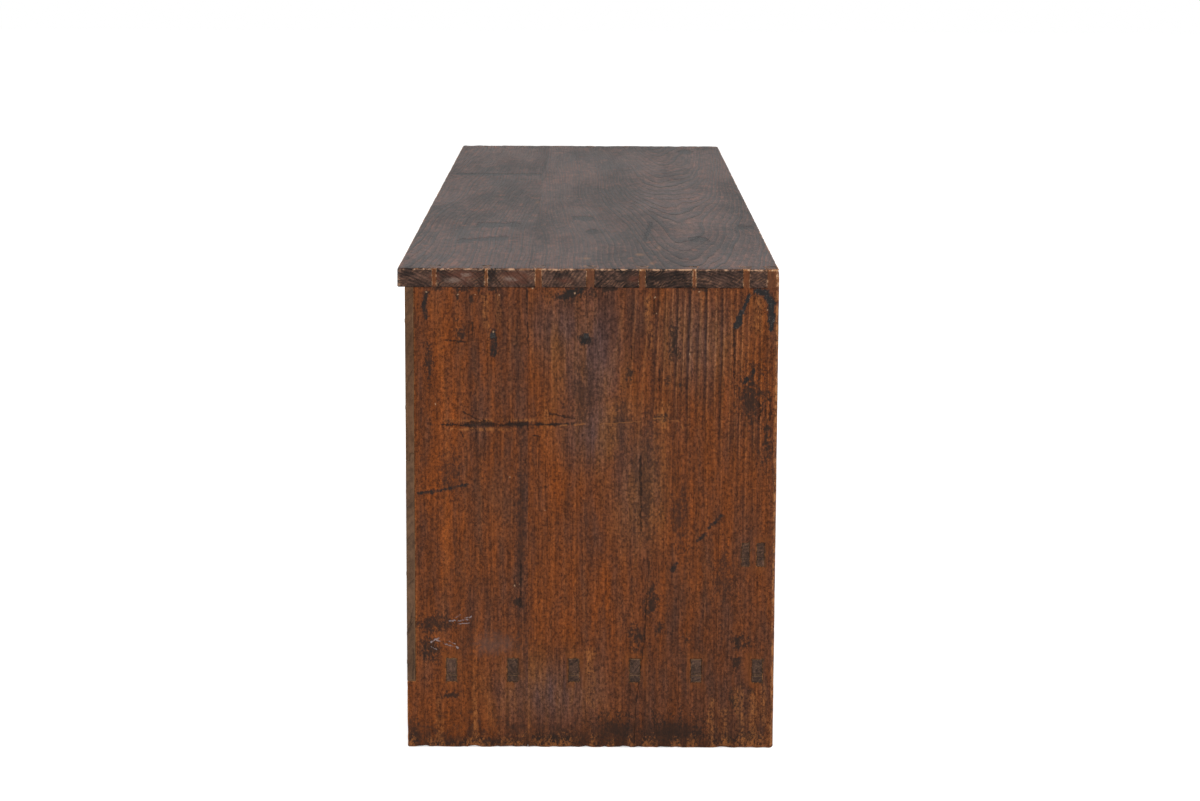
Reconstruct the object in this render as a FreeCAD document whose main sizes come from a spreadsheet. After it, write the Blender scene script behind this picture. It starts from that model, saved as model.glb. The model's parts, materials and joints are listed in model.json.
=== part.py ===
import math
import os
import re
import FreeCAD
import Part
import Sketcher

# Long, low wooden cabinet: dovetailed top, wedged through tenons, two sliding doors over three drawers.
# Millimetres. +X runs along the cabinet, -Y is its front, +Z is up.
# The origin is on the floor, below the middle of the cabinet.

sizes = {
    # Case
    "length": 1500,
    "height": 518,
    "top_overhang": 8,
    "top_thickness": 20,
    "end_depth": 392,
    "end_thickness": 24,
    "seam_clear": 3.75,
    "corner_round": 5,
    "arris_bevel": 1.5,
    # Dovetails of the top
    "front_pin_width": 12.7,
    "pin_first": 34.7,
    "pin_pitch": 54.4,
    "pin_flare": 3.4,
    "pin_1_width": 6.6,
    "pin_2_width": 3.9,
    "pin_3_width": 6.7,
    "pin_4_width": 8.5,
    "pin_5_width": 7.1,
    "pin_6_width": 3.2,
    "pin_7_width": 4.8,
    # Bottom and its through tenons
    "bottom_level": 73,
    "bottom_thickness": 25,
    "tenon_first": 18.1,
    "tenon_pitch": 65.3,
    "tenon_width": 11,
    "wedge_depth": 18,
    "wedge_thick_end": 2.4,
    "wedge_thin_end": 0.8,
    "wedge_height": 8,
    # Front rails
    "front_setback": 6,
    "rail_depth": 38,
    "rail_level": 200,
    "rail_height": 25,
    "twin_tenon_setback": 6,
    "twin_tenon_width": 8,
    "twin_tenon_gap": 8,
    "top_rail_height": 24,
    "stub_tenon_length": 12,
    "stub_tenon_width": 12,
    # Shelf, posts and partitions
    "shelf_thickness": 14,
    "shelf_housing": 8,
    "shelf_tongue": 6,
    "shelf_tongue_shoulder": 4,
    "post_width": 18,
    "post_tenon_length": 10,
    "post_tenon_shoulder": 5,
    "partition_housing": 4,
    # Back boards
    "back_thickness": 9,
    "back_lap": 8,
    "back_low_height": 62,
    "back_middle_height": 178,
    # Nails
    "nail_head": 6,
    "nail_crown": 4,
    "nail_head_height": 1,
    "nail_shank": 2.6,
    "nail_length": 20,
    "nail_point": 0.6,
    "low_nail_share": 0.3,
    "high_nail_share": 0.8,
    "end_nail_drop": 71,
    "end_nail_before": 61,
    "end_nail_behind": 37,
    # Drawers
    "drawer_front_thickness": 18,
    "drawer_lip": 8,
    "drawer_side_thickness": 10,
    "drawer_back_thickness": 10,
    "drawer_bottom_thickness": 7,
    "drawer_groove_depth": 4,
    "drawer_groove_height": 6,
    "drawer_side_gap": 1,
    "drawer_top_gap": 2,
    "drawer_side_drop": 3,
    "drawer_rear_gap": 5,
    # Drawer pulls
    "pull_drop": 37,
    "post_spacing": 84,
    "eye_play": 1,
    "eye_neck": 1,
    "eye_band": 4,
    "eye_thickness": 4,
    "shank_width": 4,
    "clinch_width": 4,
    "clinch_length": 26,
    "clinch_thickness": 1.6,
    "washer_diameter": 22,
    "washer_thickness": 1.5,
    "bail_rod": 6,
    "bail_stub": 6,
    "bail_reach": 12,
    "bail_drop": 34,
    "bail_top_bend": 6,
    "bail_low_bend": 14,
    # Sliding doors
    "track_play": 1,
    "lower_track_depth": 3,
    "door_thickness": 14,
    "door_gap": 2,
    "door_end_gap": 0.5,
    "door_low_gap": 1,
    "door_lift": 4,
    "door_tongue": 6,
    "door_top_tongue": 8,
    "door_rail_height": 32,
    "muntin_width": 30,
    "door_tenon_length": 20,
    "door_tenon_thickness": 5,
    "door_tenon_shoulder": 7,
    "muntin_tenon_length": 10,
    "panel_thickness": 5,
    "panel_inset": 5,
    "panel_room": 1,
    "cup_margin": 5,
    "cup_flange": 26,
    "cup_rim": 1,
    "cup_bore": 22,
    "cup_depth": 8,
    "cup_wall": 1,
}

seam_pin_count = 5
seam_tenon_count = 3
finger_count = 5
nail_count = 4
flat_count = 16
rod_flat_count = 8
hair = 0.01
pin_names = [name for name in sizes if re.fullmatch(r"pin_\d_width", name)]

# Planes and distances that follow from the sizes
places = {
    "left_outer": "-length / 2",
    "left_inner": "-length / 2 + end_thickness",
    "inner_length": "length - 2 * end_thickness",
    "right_inner": "length / 2 - end_thickness",
    "top_depth": "end_depth + top_overhang",
    "eye_hole": "bail_rod + eye_play",
    "eye_outer": "eye_hole / 2 + eye_band",
    "pull_standoff": "eye_outer + washer_thickness + eye_neck",
    "pull_reach": "pull_standoff + eye_outer - front_setback",
    "front": "-(top_depth - pull_reach) / 2",
    "face": "front + front_setback",
    "first_twin_tenon": "face + twin_tenon_setback + twin_tenon_width / 2",
    "rail_rear": "face + rail_depth",
    "back_inner": "front + end_depth - back_thickness",
    "back_outer": "front + end_depth",
    "pin_at_seam": f"front + pin_first + {seam_pin_count - 1} * pin_pitch",
    "seam": "pin_at_seam + pin_5_width / 2 + pin_flare + seam_clear",
    "bottom_seam": f"front + tenon_first + {seam_tenon_count - 0.5} * tenon_pitch",
    "shelf_seam": "(rail_rear + back_inner) / 2",
    "end_nail_level": "height - end_nail_drop",
    "top_underside": "height - top_thickness",
    "bottom_top": "bottom_level + bottom_thickness",
    "rail_top": "rail_level + rail_height",
    "shelf_underside": "rail_top - shelf_thickness",
    "upper_rail_underside": "top_underside - top_rail_height",
    "drawer_opening": "(inner_length - 2 * post_width) / 3",
    "drawer_pitch": "drawer_opening + post_width",
    "drawer_width": "drawer_opening - 2 * drawer_side_gap",
    "drawer_rear": "back_inner - drawer_rear_gap",
    "drawer_back_face": "drawer_rear - drawer_back_thickness",
    "drawer_side_height": "rail_level - bottom_top - drawer_top_gap - drawer_side_drop",
    "drawer_floor": "bottom_top + drawer_groove_height + drawer_bottom_thickness",
    "drawer_inside_front": "face + drawer_front_thickness",
    "pull_axis": "face - pull_standoff",
    "pull_height": "rail_level - drawer_top_gap - pull_drop",
    "track_spacing": "door_thickness + door_gap",
    "track_width": "door_tongue + track_play",
    "upper_track_depth": "door_top_tongue + door_lift",
    "stile_width": "cup_flange + 2 * cup_margin",
    "front_track": "face + rail_depth / 2 - track_spacing / 2",
    "rear_track": "face + rail_depth / 2 + track_spacing / 2",
    "door_width": "(inner_length + stile_width) / 2 - door_end_gap",
    "door_low": "rail_top + door_low_gap",
    "door_high": "upper_rail_underside - door_lift",
    "door_foot": "rail_top - lower_track_depth",
    "door_head": "upper_rail_underside + door_top_tongue",
    "door_middle": "(door_low + door_high) / 2",
    "panel_low": "door_low + door_rail_height",
    "panel_high": "door_high - door_rail_height",
}

# Round pieces are drawn along Z, tapered blocks along Y, and then turned
round_along_x = FreeCAD.Rotation(FreeCAD.Vector(0, 1, 0), 90)
round_to_front = FreeCAD.Rotation(FreeCAD.Vector(1, 0, 0), 90)
round_to_back = FreeCAD.Rotation(FreeCAD.Vector(1, 0, 0), -90)
taper_along_x = FreeCAD.Rotation(FreeCAD.Vector(0, 0, 1), -90)
taper_to_front = FreeCAD.Rotation(FreeCAD.Vector(0, 0, 1), 180)

document = FreeCAD.newDocument("cabinet")
sheet = document.addObject("Spreadsheet::Sheet", "Sizes")
for row, (name, value) in enumerate(sizes.items(), start=1):
    sheet.set(f"A{row}", name)
    sheet.set(f"B{row}", str(value))
    sheet.setAlias(f"B{row}", name)
document.recompute()

nodes = []


def formula(text):
    # Write a measure in terms of the sheet's cells
    def spell(match):
        word = match.group(0)
        if word in places:
            return "(" + formula(places[word]) + ")"
        return "Sizes." + word if word in sizes else word
    return re.sub(r"[a-z][a-z_0-9]*", spell, str(text))


def bind(solid, prop, text):
    solid.setExpression(prop, formula(text))


def place(solid, spot):
    for axis, text in zip("xyz", spot):
        bind(solid, "Placement.Base." + axis, text)


def turn(solid, rotation):
    solid.Placement = FreeCAD.Placement(FreeCAD.Vector(), rotation)


def box(name, spot, size):
    solid = document.addObject("Part::Box", name)
    for prop, text in zip(("Length", "Width", "Height"), size):
        bind(solid, prop, text)
    place(solid, spot)
    return solid


def between(name, low, high):
    # A box given by its two corners
    return box(name, low, [f"({b}) - ({a})" for a, b in zip(low, high)])


def rod(name, spot, rotation, diameter, length):
    solid = document.addObject("Part::Cylinder", name)
    bind(solid, "Radius", f"({diameter}) / 2")
    bind(solid, "Height", length)
    turn(solid, rotation)
    place(solid, spot)
    return solid


def faceted(name, spot, rotation, radius, length):
    # A round piece with the flats of the hammer on its rim
    solid = document.addObject("Part::Prism", name)
    solid.Polygon = flat_count
    bind(solid, "Circumradius", radius)
    bind(solid, "Height", length)
    turn(solid, rotation)
    place(solid, spot)
    return solid


def taper(name, spot, rotation, depth, near, far):
    # A block that runs inwards from one rectangle to another: each is low and high across, low and high up
    solid = document.addObject("Part::Wedge", name)
    bind(solid, "Ymin", 0)
    bind(solid, "Ymax", depth)
    for prop, text in zip(("Xmin", "Xmax", "Zmin", "Zmax"), near):
        bind(solid, prop, text)
    for prop, text in zip(("X2min", "X2max", "Z2min", "Z2max"), far):
        bind(solid, prop, text)
    turn(solid, rotation)
    place(solid, spot)
    return solid


def square_taper(name, spot, rotation, near_width, far_width, length):
    near = (f"-({near_width}) / 2", f"({near_width}) / 2")
    far = (f"-({far_width}) / 2", f"({far_width}) / 2")
    return taper(name, spot, rotation, length, near + near, far + far)


def group(name, pieces):
    solid = document.addObject("Part::Compound", name)
    solid.Links = pieces
    return solid


def fuse(name, pieces):
    solid = document.addObject("Part::MultiFuse", name)
    solid.Shapes = pieces
    solid.Refine = True
    return solid


def cut(name, base, tools):
    solid = document.addObject("Part::Cut", name)
    solid.Base = base
    solid.Tool = tools[0] if len(tools) == 1 else group(name + "_tools", tools)
    solid.Refine = True
    return solid


def common(name, base, tool):
    solid = document.addObject("Part::Common", name)
    solid.Base = base
    solid.Tool = tool
    solid.Refine = True
    return solid


def mirror(name, source):
    # The same piece at the other end of the cabinet
    solid = document.addObject("Part::Mirroring", name)
    solid.Source = source
    solid.Normal = FreeCAD.Vector(1, 0, 0)
    return solid


def node(name, solid):
    solid.Label = name
    nodes.append(solid)
    return solid


def plane(body, role):
    return [item for item in body.Origin.OriginFeatures if item.Role == role][0]


def sketch_on(body, role, name):
    sketch = body.newObject("Sketcher::SketchObject", name)
    sketch.AttachmentSupport = [(plane(body, role), "")]
    sketch.MapMode = "FlatFace"
    return sketch


def dimension(sketch, text, *parts):
    index = sketch.addConstraint(Sketcher.Constraint(*parts, sheet_value(text)))
    bind(sketch, f"Constraints[{index}]", text)


def sheet_value(text):
    return sheet.evalExpression(formula(text).replace("Sizes.", ""))


def repeats(room, pitch):
    return int(sheet_value(room) // sheet_value(pitch)) + 1


def case_outline():
    # Everything inside the worn corners and arrises of the case
    body = document.addObject("PartDesign::Body", "case_outline")
    sketch = sketch_on(body, "XY_Plane", "case_plan")
    wide = sheet_value("length")
    deep = sheet_value("top_depth")
    corners = [FreeCAD.Vector(x, y, 0) for x, y in ((0, 0), (wide, 0), (wide, deep), (0, deep))]
    for index in range(4):
        sketch.addGeometry(Part.LineSegment(corners[index], corners[(index + 1) % 4]))
    for index in range(4):
        sketch.addConstraint(Sketcher.Constraint("Coincident", index, 2, (index + 1) % 4, 1))
        sketch.addConstraint(Sketcher.Constraint("Vertical" if index % 2 else "Horizontal", index))
    sketch.addConstraint(Sketcher.Constraint("Coincident", 0, 1, -1, 1))
    dimension(sketch, "length", "DistanceX", 0, 1, 0, 2)
    dimension(sketch, "top_depth", "DistanceY", 1, 1, 1, 2)
    pad = body.newObject("PartDesign::Pad", "case_block")
    pad.Profile = sketch
    bind(pad, "Length", "height")
    document.recompute()
    upright = [f"Edge{n}" for n, edge in enumerate(pad.Shape.Edges, start=1)
               if edge.BoundBox.ZLength > hair]
    corner = body.newObject("PartDesign::Fillet", "case_corners")
    corner.Base = (pad, upright)
    bind(corner, "Radius", "corner_round")
    document.recompute()
    high = sheet_value("height") - hair
    rim = [f"Edge{n}" for n, edge in enumerate(corner.Shape.Edges, start=1)
           if edge.BoundBox.ZMin > high]
    arris = body.newObject("PartDesign::Chamfer", "case_arris")
    arris.Base = (corner, rim)
    bind(arris, "Size", "arris_bevel")
    place(body, ("left_outer", "front", "0"))
    return body


def strip(name, low, high):
    # The slice of the cabinet between two upright planes, to divide a panel into its boards
    return between(name, ("left_outer", low, "0"), ("length / 2", high, "height"))


def dovetails():
    # Pins of the left end: narrow at the outer face, wider inside
    pins = [taper("front_pin", ("left_outer", "front", "top_underside"), taper_along_x, "end_thickness",
                  ("-front_pin_width", "0", "0", "top_thickness"),
                  ("-front_pin_width - pin_flare", "0", "0", "top_thickness"))]
    room = "end_depth - back_thickness - pin_first - pin_4_width / 2 - pin_flare"
    for index in range(repeats(room, "pin_pitch")):
        half = f"{pin_names[index % len(pin_names)]} / 2"
        spot = ("left_outer", f"front + pin_first + {index} * pin_pitch", "top_underside")
        pins.append(taper(f"pin_{index + 1}", spot, taper_along_x, "end_thickness",
                          (f"-{half}", half, "0", "top_thickness"),
                          (f"-{half} - pin_flare", f"{half} + pin_flare", "0", "top_thickness")))
    return pins


def through_tenon(name, middle, width, low, high):
    # A tenon of the left end and the wedge driven into it
    tenon = between(name, ("left_outer", f"{middle} - ({width}) / 2", low),
                    ("left_inner", f"{middle} + ({width}) / 2", high))
    half = f"({width}) / 2"
    spot = ("left_outer", middle, f"({low}) + wedge_height")
    wedge = taper(name + "_wedge", spot, taper_along_x, "wedge_depth",
                  (f"-{half}", half, "-wedge_thick_end / 2", "wedge_thick_end / 2"),
                  (f"-{half}", half, "-wedge_thin_end / 2", "wedge_thin_end / 2"))
    return tenon, wedge


def nail(name, spot, rotation, crown, collar):
    # Forged nail: square tapered shank, and a head that goes from the crown outside to the collar below it
    head = square_taper(name + "_head", spot, rotation, crown, collar, "nail_head_height")
    shank = square_taper(name + "_shank", spot, rotation, "nail_shank", "nail_point", "nail_length")
    return fuse(name, [head, shank])


def wall_nails():
    # Nails of the back boards: two to a board at each end, and a row into the edge of the bottom
    heights = []
    low = "bottom_level"
    for board, tall in (("low", "back_low_height"), ("middle", "back_middle_height"), ("high", None)):
        high = f"{low} + {tall}" if tall else "top_underside"
        for share in ("low_nail_share", "high_nail_share"):
            heights.append((f"{board}_{share}", f"({low}) + (({high}) - ({low})) * {share}"))
        low = high
    nails = []
    for side, middle in (("left", "left_outer + end_thickness / 2"),
                         ("right", "length / 2 - end_thickness / 2")):
        for label, level in heights:
            spot = (middle, "back_outer + nail_head_height", level)
            nails.append(nail(f"back_nail_{side}_{label}", spot, taper_to_front, "nail_crown", "nail_head"))
    for index in range(nail_count):
        across = f"left_inner + inner_length * {index + 0.5} / {nail_count}"
        spot = (across, "back_outer + nail_head_height", "bottom_level + bottom_thickness / 2")
        nails.append(nail(f"bottom_nail_{index + 1}", spot, taper_to_front, "nail_crown", "nail_head"))
    return nails


def post_pieces(name, middle):
    # A post between two drawers, its two stub tenons, and the partition behind it
    left = f"{middle} - post_width / 2"
    right = f"{middle} + post_width / 2"
    shaft = between(name + "_shaft", (left, "face", "bottom_top"), (right, "rail_rear", "rail_level"))
    tenons = []
    for end, low, high in (("foot", "bottom_top - post_tenon_length", "bottom_top"),
                           ("head", "rail_level", "rail_level + post_tenon_length")):
        tenons.append(between(f"{name}_{end}",
                              (f"{left} + post_tenon_shoulder", "face + post_tenon_shoulder", low),
                              (f"{right} - post_tenon_shoulder", "rail_rear - post_tenon_shoulder", high)))
    wall = between(name.replace("post", "partition"),
                   (left, "rail_rear", "bottom_top - partition_housing"),
                   (right, "back_inner", "shelf_underside + partition_housing"))
    return shaft, tenons, wall


def case():
    outline = case_outline()
    pins = dovetails()
    left_pins = group("left_pins", pins)
    right_pins = mirror("right_pins", left_pins)
    back_nails = wall_nails()
    all_back_nails = group("back_nail_group", back_nails)

    bottom_tenon_pieces = []
    wedges = []
    room = "end_depth - back_thickness - tenon_first - tenon_width / 2"
    for index in range(repeats(room, "tenon_pitch")):
        tenon, wedge = through_tenon(f"bottom_tenon_{index + 1}",
                                     f"front + tenon_first + {index} * tenon_pitch",
                                     "tenon_width", "bottom_level", "bottom_top")
        bottom_tenon_pieces.append(tenon)
        wedges.append(wedge)
    rail_tenon_pieces = []
    for index in range(2):
        middle = f"first_twin_tenon + {index} * (twin_tenon_width + twin_tenon_gap)"
        tenon, wedge = through_tenon(f"rail_tenon_{index + 1}", middle,
                                     "twin_tenon_width", "rail_level", "rail_top")
        rail_tenon_pieces.append(tenon)
        wedges.append(wedge)
    left_bottom_tenons = group("left_bottom_tenons", bottom_tenon_pieces)
    left_rail_tenons = group("left_rail_tenons", rail_tenon_pieces)
    left_wedges = group("left_wedges", wedges)
    right_wedges = mirror("right_wedges", left_wedges)
    node("tenon_wedges", group("wedge_group", [left_wedges, right_wedges]))

    stub = between("top_rail_stub",
                   ("left_inner - stub_tenon_length", "face + rail_depth / 2 - stub_tenon_width / 2",
                    "upper_rail_underside"),
                   ("left_inner", "face + rail_depth / 2 + stub_tenon_width / 2", "top_underside"))
    shelf_block = between("shelf_block", ("left_inner - shelf_housing", "rail_rear", "shelf_underside"),
                          ("right_inner + shelf_housing", "back_inner", "rail_top"))
    shelf_lip = between("shelf_lip",
                        ("left_inner", "rail_rear - shelf_tongue",
                         "shelf_underside + shelf_tongue_shoulder"),
                        ("right_inner", "rail_rear", "rail_top - shelf_tongue_shoulder"))
    posts = {side: post_pieces(f"drawer_post_{side}", f"{sign} (drawer_pitch / 2)")
             for side, sign in (("left", "-"), ("right", "0 +"))}
    feet = [pieces[1][0] for pieces in posts.values()]
    heads = [pieces[1][1] for pieces in posts.values()]
    walls = [pieces[2] for pieces in posts.values()]

    # End panels: two edge-joined boards each, rebated for the back boards
    slab = between("left_slab", ("left_outer", "front", "0"), ("left_inner", "back_outer", "top_underside"))
    rebate = between("back_rebate", ("left_outer", "back_inner", "bottom_level"),
                     ("left_inner", "back_outer", "height"))
    pinned = common("left_panel_round", fuse("left_panel_pins", [slab] + pins), outline)
    panel = cut("left_panel", pinned,
                [rebate, left_bottom_tenons, left_rail_tenons, stub, shelf_block, all_back_nails])
    front_half = common("left_front_half", panel, strip("end_front_strip", "front", "seam"))
    rear_half = common("left_rear_half", panel, strip("end_rear_strip", "seam", "back_outer"))
    front_nail = nail("end_nail_1", ("left_outer", "seam - end_nail_before", "end_nail_level"),
                      taper_along_x, "nail_head", "nail_crown")
    rear_nail = nail("end_nail_2", ("left_outer", "seam + end_nail_behind", "end_nail_level"),
                     taper_along_x, "nail_head", "nail_crown")
    node("left_end_front_board", cut("left_end_front", front_half, [front_nail]))
    node("left_end_rear_board", cut("left_end_rear", rear_half, [rear_nail]))
    node("right_end_front_board", mirror("right_end_front", front_half))
    node("right_end_rear_board", mirror("right_end_rear", rear_half))
    node("end_nails", group("end_nail_group", [front_nail, rear_nail]))

    # Top: tails between the pins
    top_block = between("top_block", ("left_outer", "front", "top_underside"),
                        ("length / 2", "front + top_depth", "height"))
    tailed = cut("top_tails", common("top_round", top_block, outline), [left_pins, right_pins])
    node("top_front_board", common("top_front", tailed, strip("top_front_strip", "front", "seam")))
    node("top_rear_board", common("top_rear", tailed,
                                  strip("top_rear_strip", "seam", "front + top_depth")))

    # Bottom: through tenons with their wedge kerfs, mortises for the posts, grooves for the partitions
    bottom_block = between("bottom_block", ("left_inner", "face", "bottom_level"),
                           ("right_inner", "back_inner", "bottom_top"))
    right_bottom_tenons = mirror("right_bottom_tenons", left_bottom_tenons)
    bottom = cut("bottom", fuse("bottom_tenoned", [bottom_block, left_bottom_tenons, right_bottom_tenons]),
                 [left_wedges, right_wedges, all_back_nails] + feet + walls)
    node("bottom_front_board", common("bottom_front", bottom,
                                      strip("bottom_front_strip", "front", "bottom_seam")))
    node("bottom_rear_board", common("bottom_rear", bottom,
                                     strip("bottom_rear_strip", "bottom_seam", "back_outer")))

    # Rails with the door tracks
    def track(name, middle, low, high):
        return between(name, ("left_inner", f"{middle} - track_width / 2", low),
                       ("right_inner", f"{middle} + track_width / 2", high))
    low_tracks = [track(f"low_{name}", name, "rail_top - lower_track_depth", "rail_top")
                  for name in ("front_track", "rear_track")]
    high_tracks = [track(f"high_{name}", name, "upper_rail_underside",
                         "upper_rail_underside + upper_track_depth")
                   for name in ("front_track", "rear_track")]
    middle_block = between("middle_block", ("left_inner", "face", "rail_level"),
                           ("right_inner", "rail_rear", "rail_top"))
    right_rail_tenons = mirror("right_rail_tenons", left_rail_tenons)
    middle_rail = fuse("middle_rail_tenoned", [middle_block, left_rail_tenons, right_rail_tenons])
    node("middle_rail", cut("middle_rail_cut", middle_rail,
                            low_tracks + [left_wedges, right_wedges, shelf_lip] + heads))
    upper_block = between("upper_block", ("left_inner", "face", "upper_rail_underside"),
                          ("right_inner", "rail_rear", "top_underside"))
    top_rail = fuse("top_rail_tenoned", [upper_block, stub, mirror("right_stub", stub)])
    node("top_rail", cut("top_rail_cut", top_rail, high_tracks))

    # Shelf over the drawers
    shelf = cut("shelf", fuse("shelf_tongued", [shelf_block, shelf_lip]), walls)
    node("shelf_front_board", common("shelf_front", shelf,
                                     strip("shelf_front_strip", "front", "shelf_seam")))
    node("shelf_rear_board", common("shelf_rear", shelf,
                                    strip("shelf_rear_strip", "shelf_seam", "back_outer")))
    for side, (shaft, tenons, wall) in posts.items():
        node(f"drawer_post_{side}", fuse(f"drawer_post_{side}_whole", [shaft] + tenons))
        node(f"drawer_partition_{side}", wall)

    # Back boards, each lapped over the one below
    low = "bottom_level"
    lap_middle = "back_inner + back_thickness / 2"
    lap = None
    for board, tall in (("low", "back_low_height"), ("middle", "back_middle_height"), ("high", None)):
        high = f"{low} + {tall}" if tall else "top_underside"
        tools = [all_back_nails] + ([lap] if lap else [])
        blank = between(f"back_{board}_blank", ("left_outer", "back_inner", low),
                        ("length / 2", "back_outer", high))
        if tall:
            lap = between(f"back_{board}_lap", ("left_outer", "back_inner", high),
                          ("length / 2", lap_middle, f"{high} + back_lap"))
            blank = fuse(f"back_{board}_lapped", [blank, lap])
        node(f"back_board_{board}", cut(f"back_{board}", blank, tools))
        low = high
    node("back_nails", all_back_nails)


def bail(name, centre):
    # Forged eight-sided rod bent to a U, its ends turned in through the eyes
    half = sheet_value("post_spacing / 2")
    stub = half - sheet_value("bail_stub")
    leg = half + sheet_value("bail_reach")
    drop = sheet_value("bail_drop")
    top_bend = sheet_value("bail_top_bend")
    low_bend = sheet_value("bail_low_bend")
    body = document.addObject("PartDesign::Body", name)
    path = sketch_on(body, "XZ_Plane", name + "_path")

    def line(x1, y1, x2, y2):
        path.addGeometry(Part.LineSegment(FreeCAD.Vector(x1, y1, 0), FreeCAD.Vector(x2, y2, 0)))

    def bend(x, y, radius, start):
        circle = Part.Circle(FreeCAD.Vector(x, y, 0), FreeCAD.Vector(0, 0, 1), radius)
        path.addGeometry(Part.ArcOfCircle(circle, math.radians(start), math.radians(start + 90)))
    line(-stub, 0, top_bend - leg, 0)
    bend(top_bend - leg, -top_bend, top_bend, 90)
    line(-leg, -top_bend, -leg, low_bend - drop)
    bend(low_bend - leg, low_bend - drop, low_bend, 180)
    line(low_bend - leg, -drop, leg - low_bend, -drop)
    bend(leg - low_bend, low_bend - drop, low_bend, 270)
    line(leg, low_bend - drop, leg, -top_bend)
    bend(leg - top_bend, -top_bend, top_bend, 0)
    line(leg - top_bend, 0, stub, 0)
    for index in range(8):
        path.addConstraint(Sketcher.Constraint("Tangent", index, 2, index + 1, 1))
    for index in (0, 4, 8):
        path.addConstraint(Sketcher.Constraint("Horizontal", index))
    for index in (2, 6):
        path.addConstraint(Sketcher.Constraint("Vertical", index))
    path.addConstraint(Sketcher.Constraint("Equal", 1, 7))
    path.addConstraint(Sketcher.Constraint("Equal", 3, 5))
    path.addConstraint(Sketcher.Constraint("Symmetric", 0, 1, 8, 2, -2))
    path.addConstraint(Sketcher.Constraint("PointOnObject", 0, 1, -1))
    dimension(path, "bail_top_bend", "Radius", 1)
    dimension(path, "bail_low_bend", "Radius", 3)
    dimension(path, "post_spacing - 2 * bail_stub", "DistanceX", 0, 1, 8, 2)
    dimension(path, "post_spacing / 2 + bail_reach", "DistanceX", 2, 1, -1, 1)
    dimension(path, "post_spacing / 2 + bail_reach", "DistanceX", -1, 1, 6, 2)
    dimension(path, "bail_drop", "DistanceY", 4, 1, 0, 1)

    section = sketch_on(body, "YZ_Plane", name + "_section")
    bind(section, "AttachmentOffset.Base.z", "bail_stub - post_spacing / 2")
    radius = sheet_value("bail_rod / 2")
    section.addGeometry(Part.Circle(FreeCAD.Vector(), FreeCAD.Vector(0, 0, 1), radius), True)
    section.addConstraint(Sketcher.Constraint("Coincident", 0, 3, -1, 1))
    turns = [math.radians(360 / rod_flat_count * (index + 0.5)) for index in range(rod_flat_count + 1)]
    corners = [FreeCAD.Vector(radius * math.cos(angle), radius * math.sin(angle), 0) for angle in turns]
    for index in range(rod_flat_count):
        section.addGeometry(Part.LineSegment(corners[index], corners[index + 1]))
    for index in range(1, rod_flat_count + 1):
        section.addConstraint(Sketcher.Constraint("Coincident", index, 2, index % rod_flat_count + 1, 1))
        section.addConstraint(Sketcher.Constraint("PointOnObject", index, 1, 0))
        if index > 1:
            section.addConstraint(Sketcher.Constraint("Equal", 1, index))
    section.addConstraint(Sketcher.Constraint("Horizontal", rod_flat_count // 4))
    dimension(section, "bail_rod", "Diameter", 0)
    document.recompute()
    pipe = body.newObject("PartDesign::AdditivePipe", name + "_rod")
    pipe.Profile = section
    pipe.Spine = (path, [f"Edge{index + 1}" for index in range(9)])
    place(body, (centre, "pull_axis", "pull_height"))
    return body


def pull_posts(name, centre):
    # Two eyes on shanks that are clinched inside the drawer front, over hammered washers
    posts = []
    shanks = []
    washers = []
    for side, sign in (("left", "-"), ("right", "+")):
        middle = f"{centre} {sign} post_spacing / 2"
        label = f"{name}_{side}"
        side_of_eye = (f"{middle} - eye_thickness / 2", "pull_axis", "pull_height")
        eye = faceted(label + "_eye", side_of_eye, round_along_x, "eye_outer", "eye_thickness")
        hole = rod(label + "_hole", side_of_eye, round_along_x, "eye_hole", "eye_thickness")
        shank = between(label + "_shank",
                        (f"{middle} - shank_width / 2", "pull_axis + (eye_hole + eye_band) / 2",
                         "pull_height - shank_width / 2"),
                        (f"{middle} + shank_width / 2", "drawer_inside_front + clinch_thickness",
                         "pull_height + shank_width / 2"))
        clinch = between(label + "_clinch",
                         (f"{middle} - clinch_width / 2", "drawer_inside_front",
                          "pull_height - clinch_length / 2"),
                         (f"{middle} + clinch_width / 2", "drawer_inside_front + clinch_thickness",
                          "pull_height + clinch_length / 2"))
        disc = faceted(label + "_disc", (middle, "face", "pull_height"), round_to_front,
                       "washer_diameter / 2", "washer_thickness")
        posts.append(fuse(label + "_post", [cut(label + "_ring", eye, [hole]), shank, clinch]))
        washers.append(cut(label + "_washer", disc, [shank]))
        shanks.append(shank)
    return group(name, posts + washers), shanks


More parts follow.
